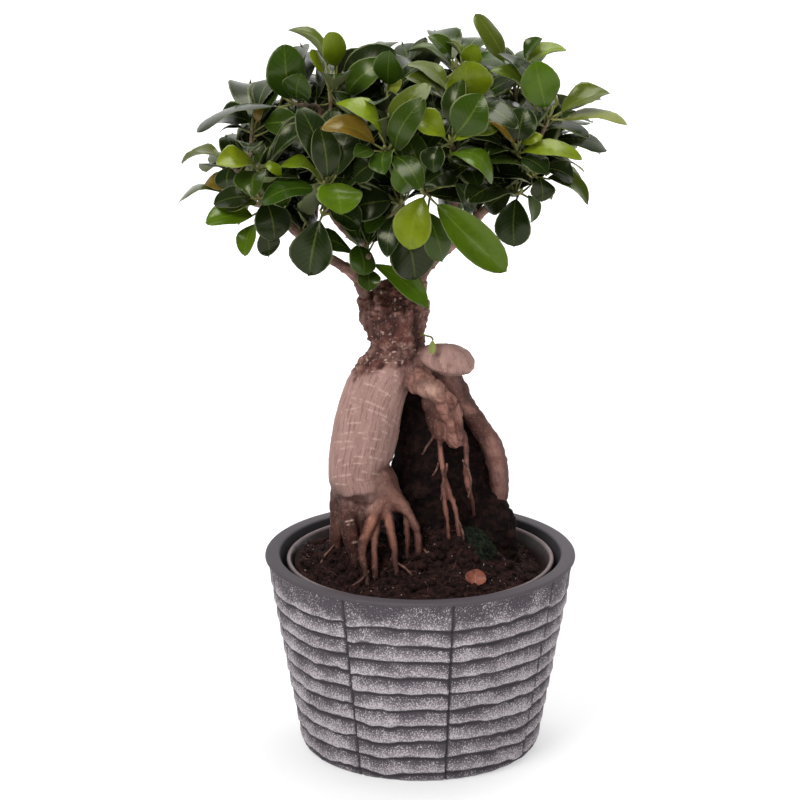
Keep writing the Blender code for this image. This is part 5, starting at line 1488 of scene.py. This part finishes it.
dry_finish = new_finish("dry_leaf", dry_blade)
mid = (leaf_low + leaf_high) / 2
lone_blade("dry_leaf", (mid[0] + 0.5 * MM, leaf_high[1], leaf_high[2] - 1 * MM),
           (mid[0] - 0.3 * MM, leaf_low[1] + 1 * MM, leaf_low[2] + 0.6 * MM), (0.1, -0.75, 0.65),
           11.2 * MM, -1.8 * MM, (140, 80, 60), dry_finish, "fallen_leaf")
sprout_low, sprout_high = (np.array(corner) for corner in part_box("rootstock_sprout"))
young_finish = new_finish("young_leaf", leaf_finish)
lone_blade("sprout_leaf",
           (sprout_high[0] - 1 * MM, sprout_low[1] + 0.9 * MM, sprout_high[2] - 2 * MM),
           (sprout_high[0] - 1.6 * MM, sprout_low[1] + 0.5 * MM, sprout_low[2] + 0.3 * MM),
           (0.1, -0.98, 0.1), 3.9 * MM, 0.4 * MM, (124, 130, 56), young_finish,
           "rootstock_sprout")
STEM = [(0, -9, 226), (3, -12.5, 226), (5.4, -15.6, 226.2), (6.3, -17.2, 225)]
stem_line = smooth_path(STEM, 5) * MM + [0, 0, LIFT]
stem_points, stem_faces = tubes(stem_line[None], np.full((1, len(stem_line)), 0.5 * MM), 8)
stem_mesh = new_mesh("sprout_stem", stem_points, *stem_faces)
new_piece("sprout_stem", stem_mesh, stalk_finish)

# %% Fine rootlets that hang between the roots or lie on the soil, in millimetres
ROOTLETS = [
    [(9, -12, 174, 0.7), (4, -11, 168, 0.6), (1, -11, 162, 0.5)],
    [(9, -13, 158, 0.6), (8, -13, 154, 0.5), (6.5, -12, 151, 0.4)],
    [(14, -15, 158, 0.6), (12, -15, 148, 0.5), (10.5, -15, 138, 0.5)],
    [(22, -15, 160, 0.7), (26, -14, 150, 0.5), (25, -13, 139, 0.4)],
    [(-32, -22, 109, 0.8), (-37, -23, 103, 0.7), (-42, -24, 101, 0.5)],
    [(38, -8, 110, 0.7), (40, -10, 107.5, 0.7), (43, -11, 105, 0.6)],
    [(40, -10, 107.5, 0.6), (38.5, -13, 105, 0.5), (37, -16, 104, 0.4)],
    [(-15, -27, 110, 0.8), (-9, -31, 107, 0.7), (-4, -36, 104, 0.5)],
    [(-27, -34, 106, 0.8), (-31, -40, 103, 0.6), (-35, -46, 102, 0.4)],
    [(2, -18, 112, 0.6), (6, -22, 108, 0.6), (11, -27, 106, 0.4)],
    [(-44, -8, 112, 0.7), (-49, -11, 107, 0.6), (-52, -16, 104, 0.5)],
    [(19, -15, 128, 0.5), (22, -17, 121, 0.5), (23, -19, 114, 0.4)],
]


def rootlet_mesh():
    """Thin tubes that wander a little from their drawn lines."""
    parts = []
    for number, rows in enumerate(ROOTLETS):
        path = drawn_path(rows, 6)
        bends = [uneven(path[:, :3], 4 * MM, number + k) for k in range(3)]
        path[:, :3] += 0.5 * MM * np.stack(bends, -1)
        parts.append(tubes(path[None, :, :3], path[None, :, 3], 6))
    return new_mesh("rootlets", *join(parts))


new_piece("rootlets", rootlet_mesh(), fibre_finish)

# %% [markdown]
# ## Floor, light and camera
# A pale floor that curves up behind, three large soft lights and a faint white surround, as in a
# small product studio. The camera is far away with a long lens, and looks down a little.

# %% Floor and backdrop
sweep_turn = np.linspace(0, np.pi / 2, 24)
floor_line = np.array([(-6, 0)] + [(3 + 1.5 * math.sin(t), 1.5 - 1.5 * math.cos(t)) for t in sweep_turn]
                      + [(4.5, 8)])
floor_points = np.array([(x, y, z) for y, z in floor_line for x in (-9, 9)], float)
row = np.arange(len(floor_line) - 1)[:, None] * 2
floor_mesh = new_mesh("floor", floor_points, row + [0, 1, 3, 2])
floor = bpy.data.objects.new("floor", floor_mesh)
bpy.context.scene.collection.objects.link(floor)


def white_card(wire):
    """Pale card that glows more brightly away from the middle."""
    grain = place(wire).noise(40, 2.0)
    colour = grain.between((0.48, 0.48, 0.48, 1), (0.50, 0.50, 0.50, 1))
    far = wire.node("ShaderNodeVectorMath", {"operation": "LENGTH"}, {0: place(wire)}, "Value")
    glow = far.rise(0.2, 1.2)
    light = glow.between((0.5, 0.5, 0.5, 1), (0.95, 0.95, 0.95, 1))
    return {"Base Color": colour, "Emission Color": light}


floor_mesh.materials.append(new_finish("floor", white_card, Roughness=0.9, Emission_Strength=1.0))

# %% Light


def soft_light(name, spot, aim, size, power):
    """A square lamp that stands at the spot and faces the aim."""
    lamp = bpy.data.lights.new(name, "AREA")
    lamp.size = size
    lamp.energy = power
    holder = bpy.data.objects.new(name, lamp)
    bpy.context.scene.collection.objects.link(holder)
    holder.location = spot
    away = Vector(spot) - Vector(aim)
    holder.rotation_euler = away.to_track_quat("Z", "Y").to_euler()


soft_light("key", (-0.7, -1.1, 1.6), (0, 0, 0.22), 0.8, 26)
soft_light("fill", (1.3, -1.3, 0.9), (0, 0, 0.2), 1.0, 6)
soft_light("top", (0.1, 0.2, 1.7), (0, 0, 0.3), 1.0, 22)
world = bpy.data.worlds.new("studio")
world.use_nodes = True
world.node_tree.nodes["Background"].inputs["Color"].default_value = (1, 1, 1, 1)
world.node_tree.nodes["Background"].inputs["Strength"].default_value = 0.12
bpy.context.scene.world = world
bpy.context.scene.view_settings.view_transform = "Standard"

# %% Camera
VIEW_DOWN = math.radians(17)
VIEW_FAR = 2.0
aim = np.array([-0.0106, 0, 0.1878])
lens = bpy.data.cameras.new("camera")
lens.sensor_width = 36
lens.lens = 173.7
camera = bpy.data.objects.new("camera", lens)
bpy.context.scene.collection.objects.link(camera)
camera.location = aim + VIEW_FAR * np.array([0, -math.cos(VIEW_DOWN), math.sin(VIEW_DOWN)])
camera.rotation_euler = (math.pi / 2 - VIEW_DOWN, 0, 0)
bpy.context.scene.camera = camera

# %% Done


bpy.context.view_layer.update()
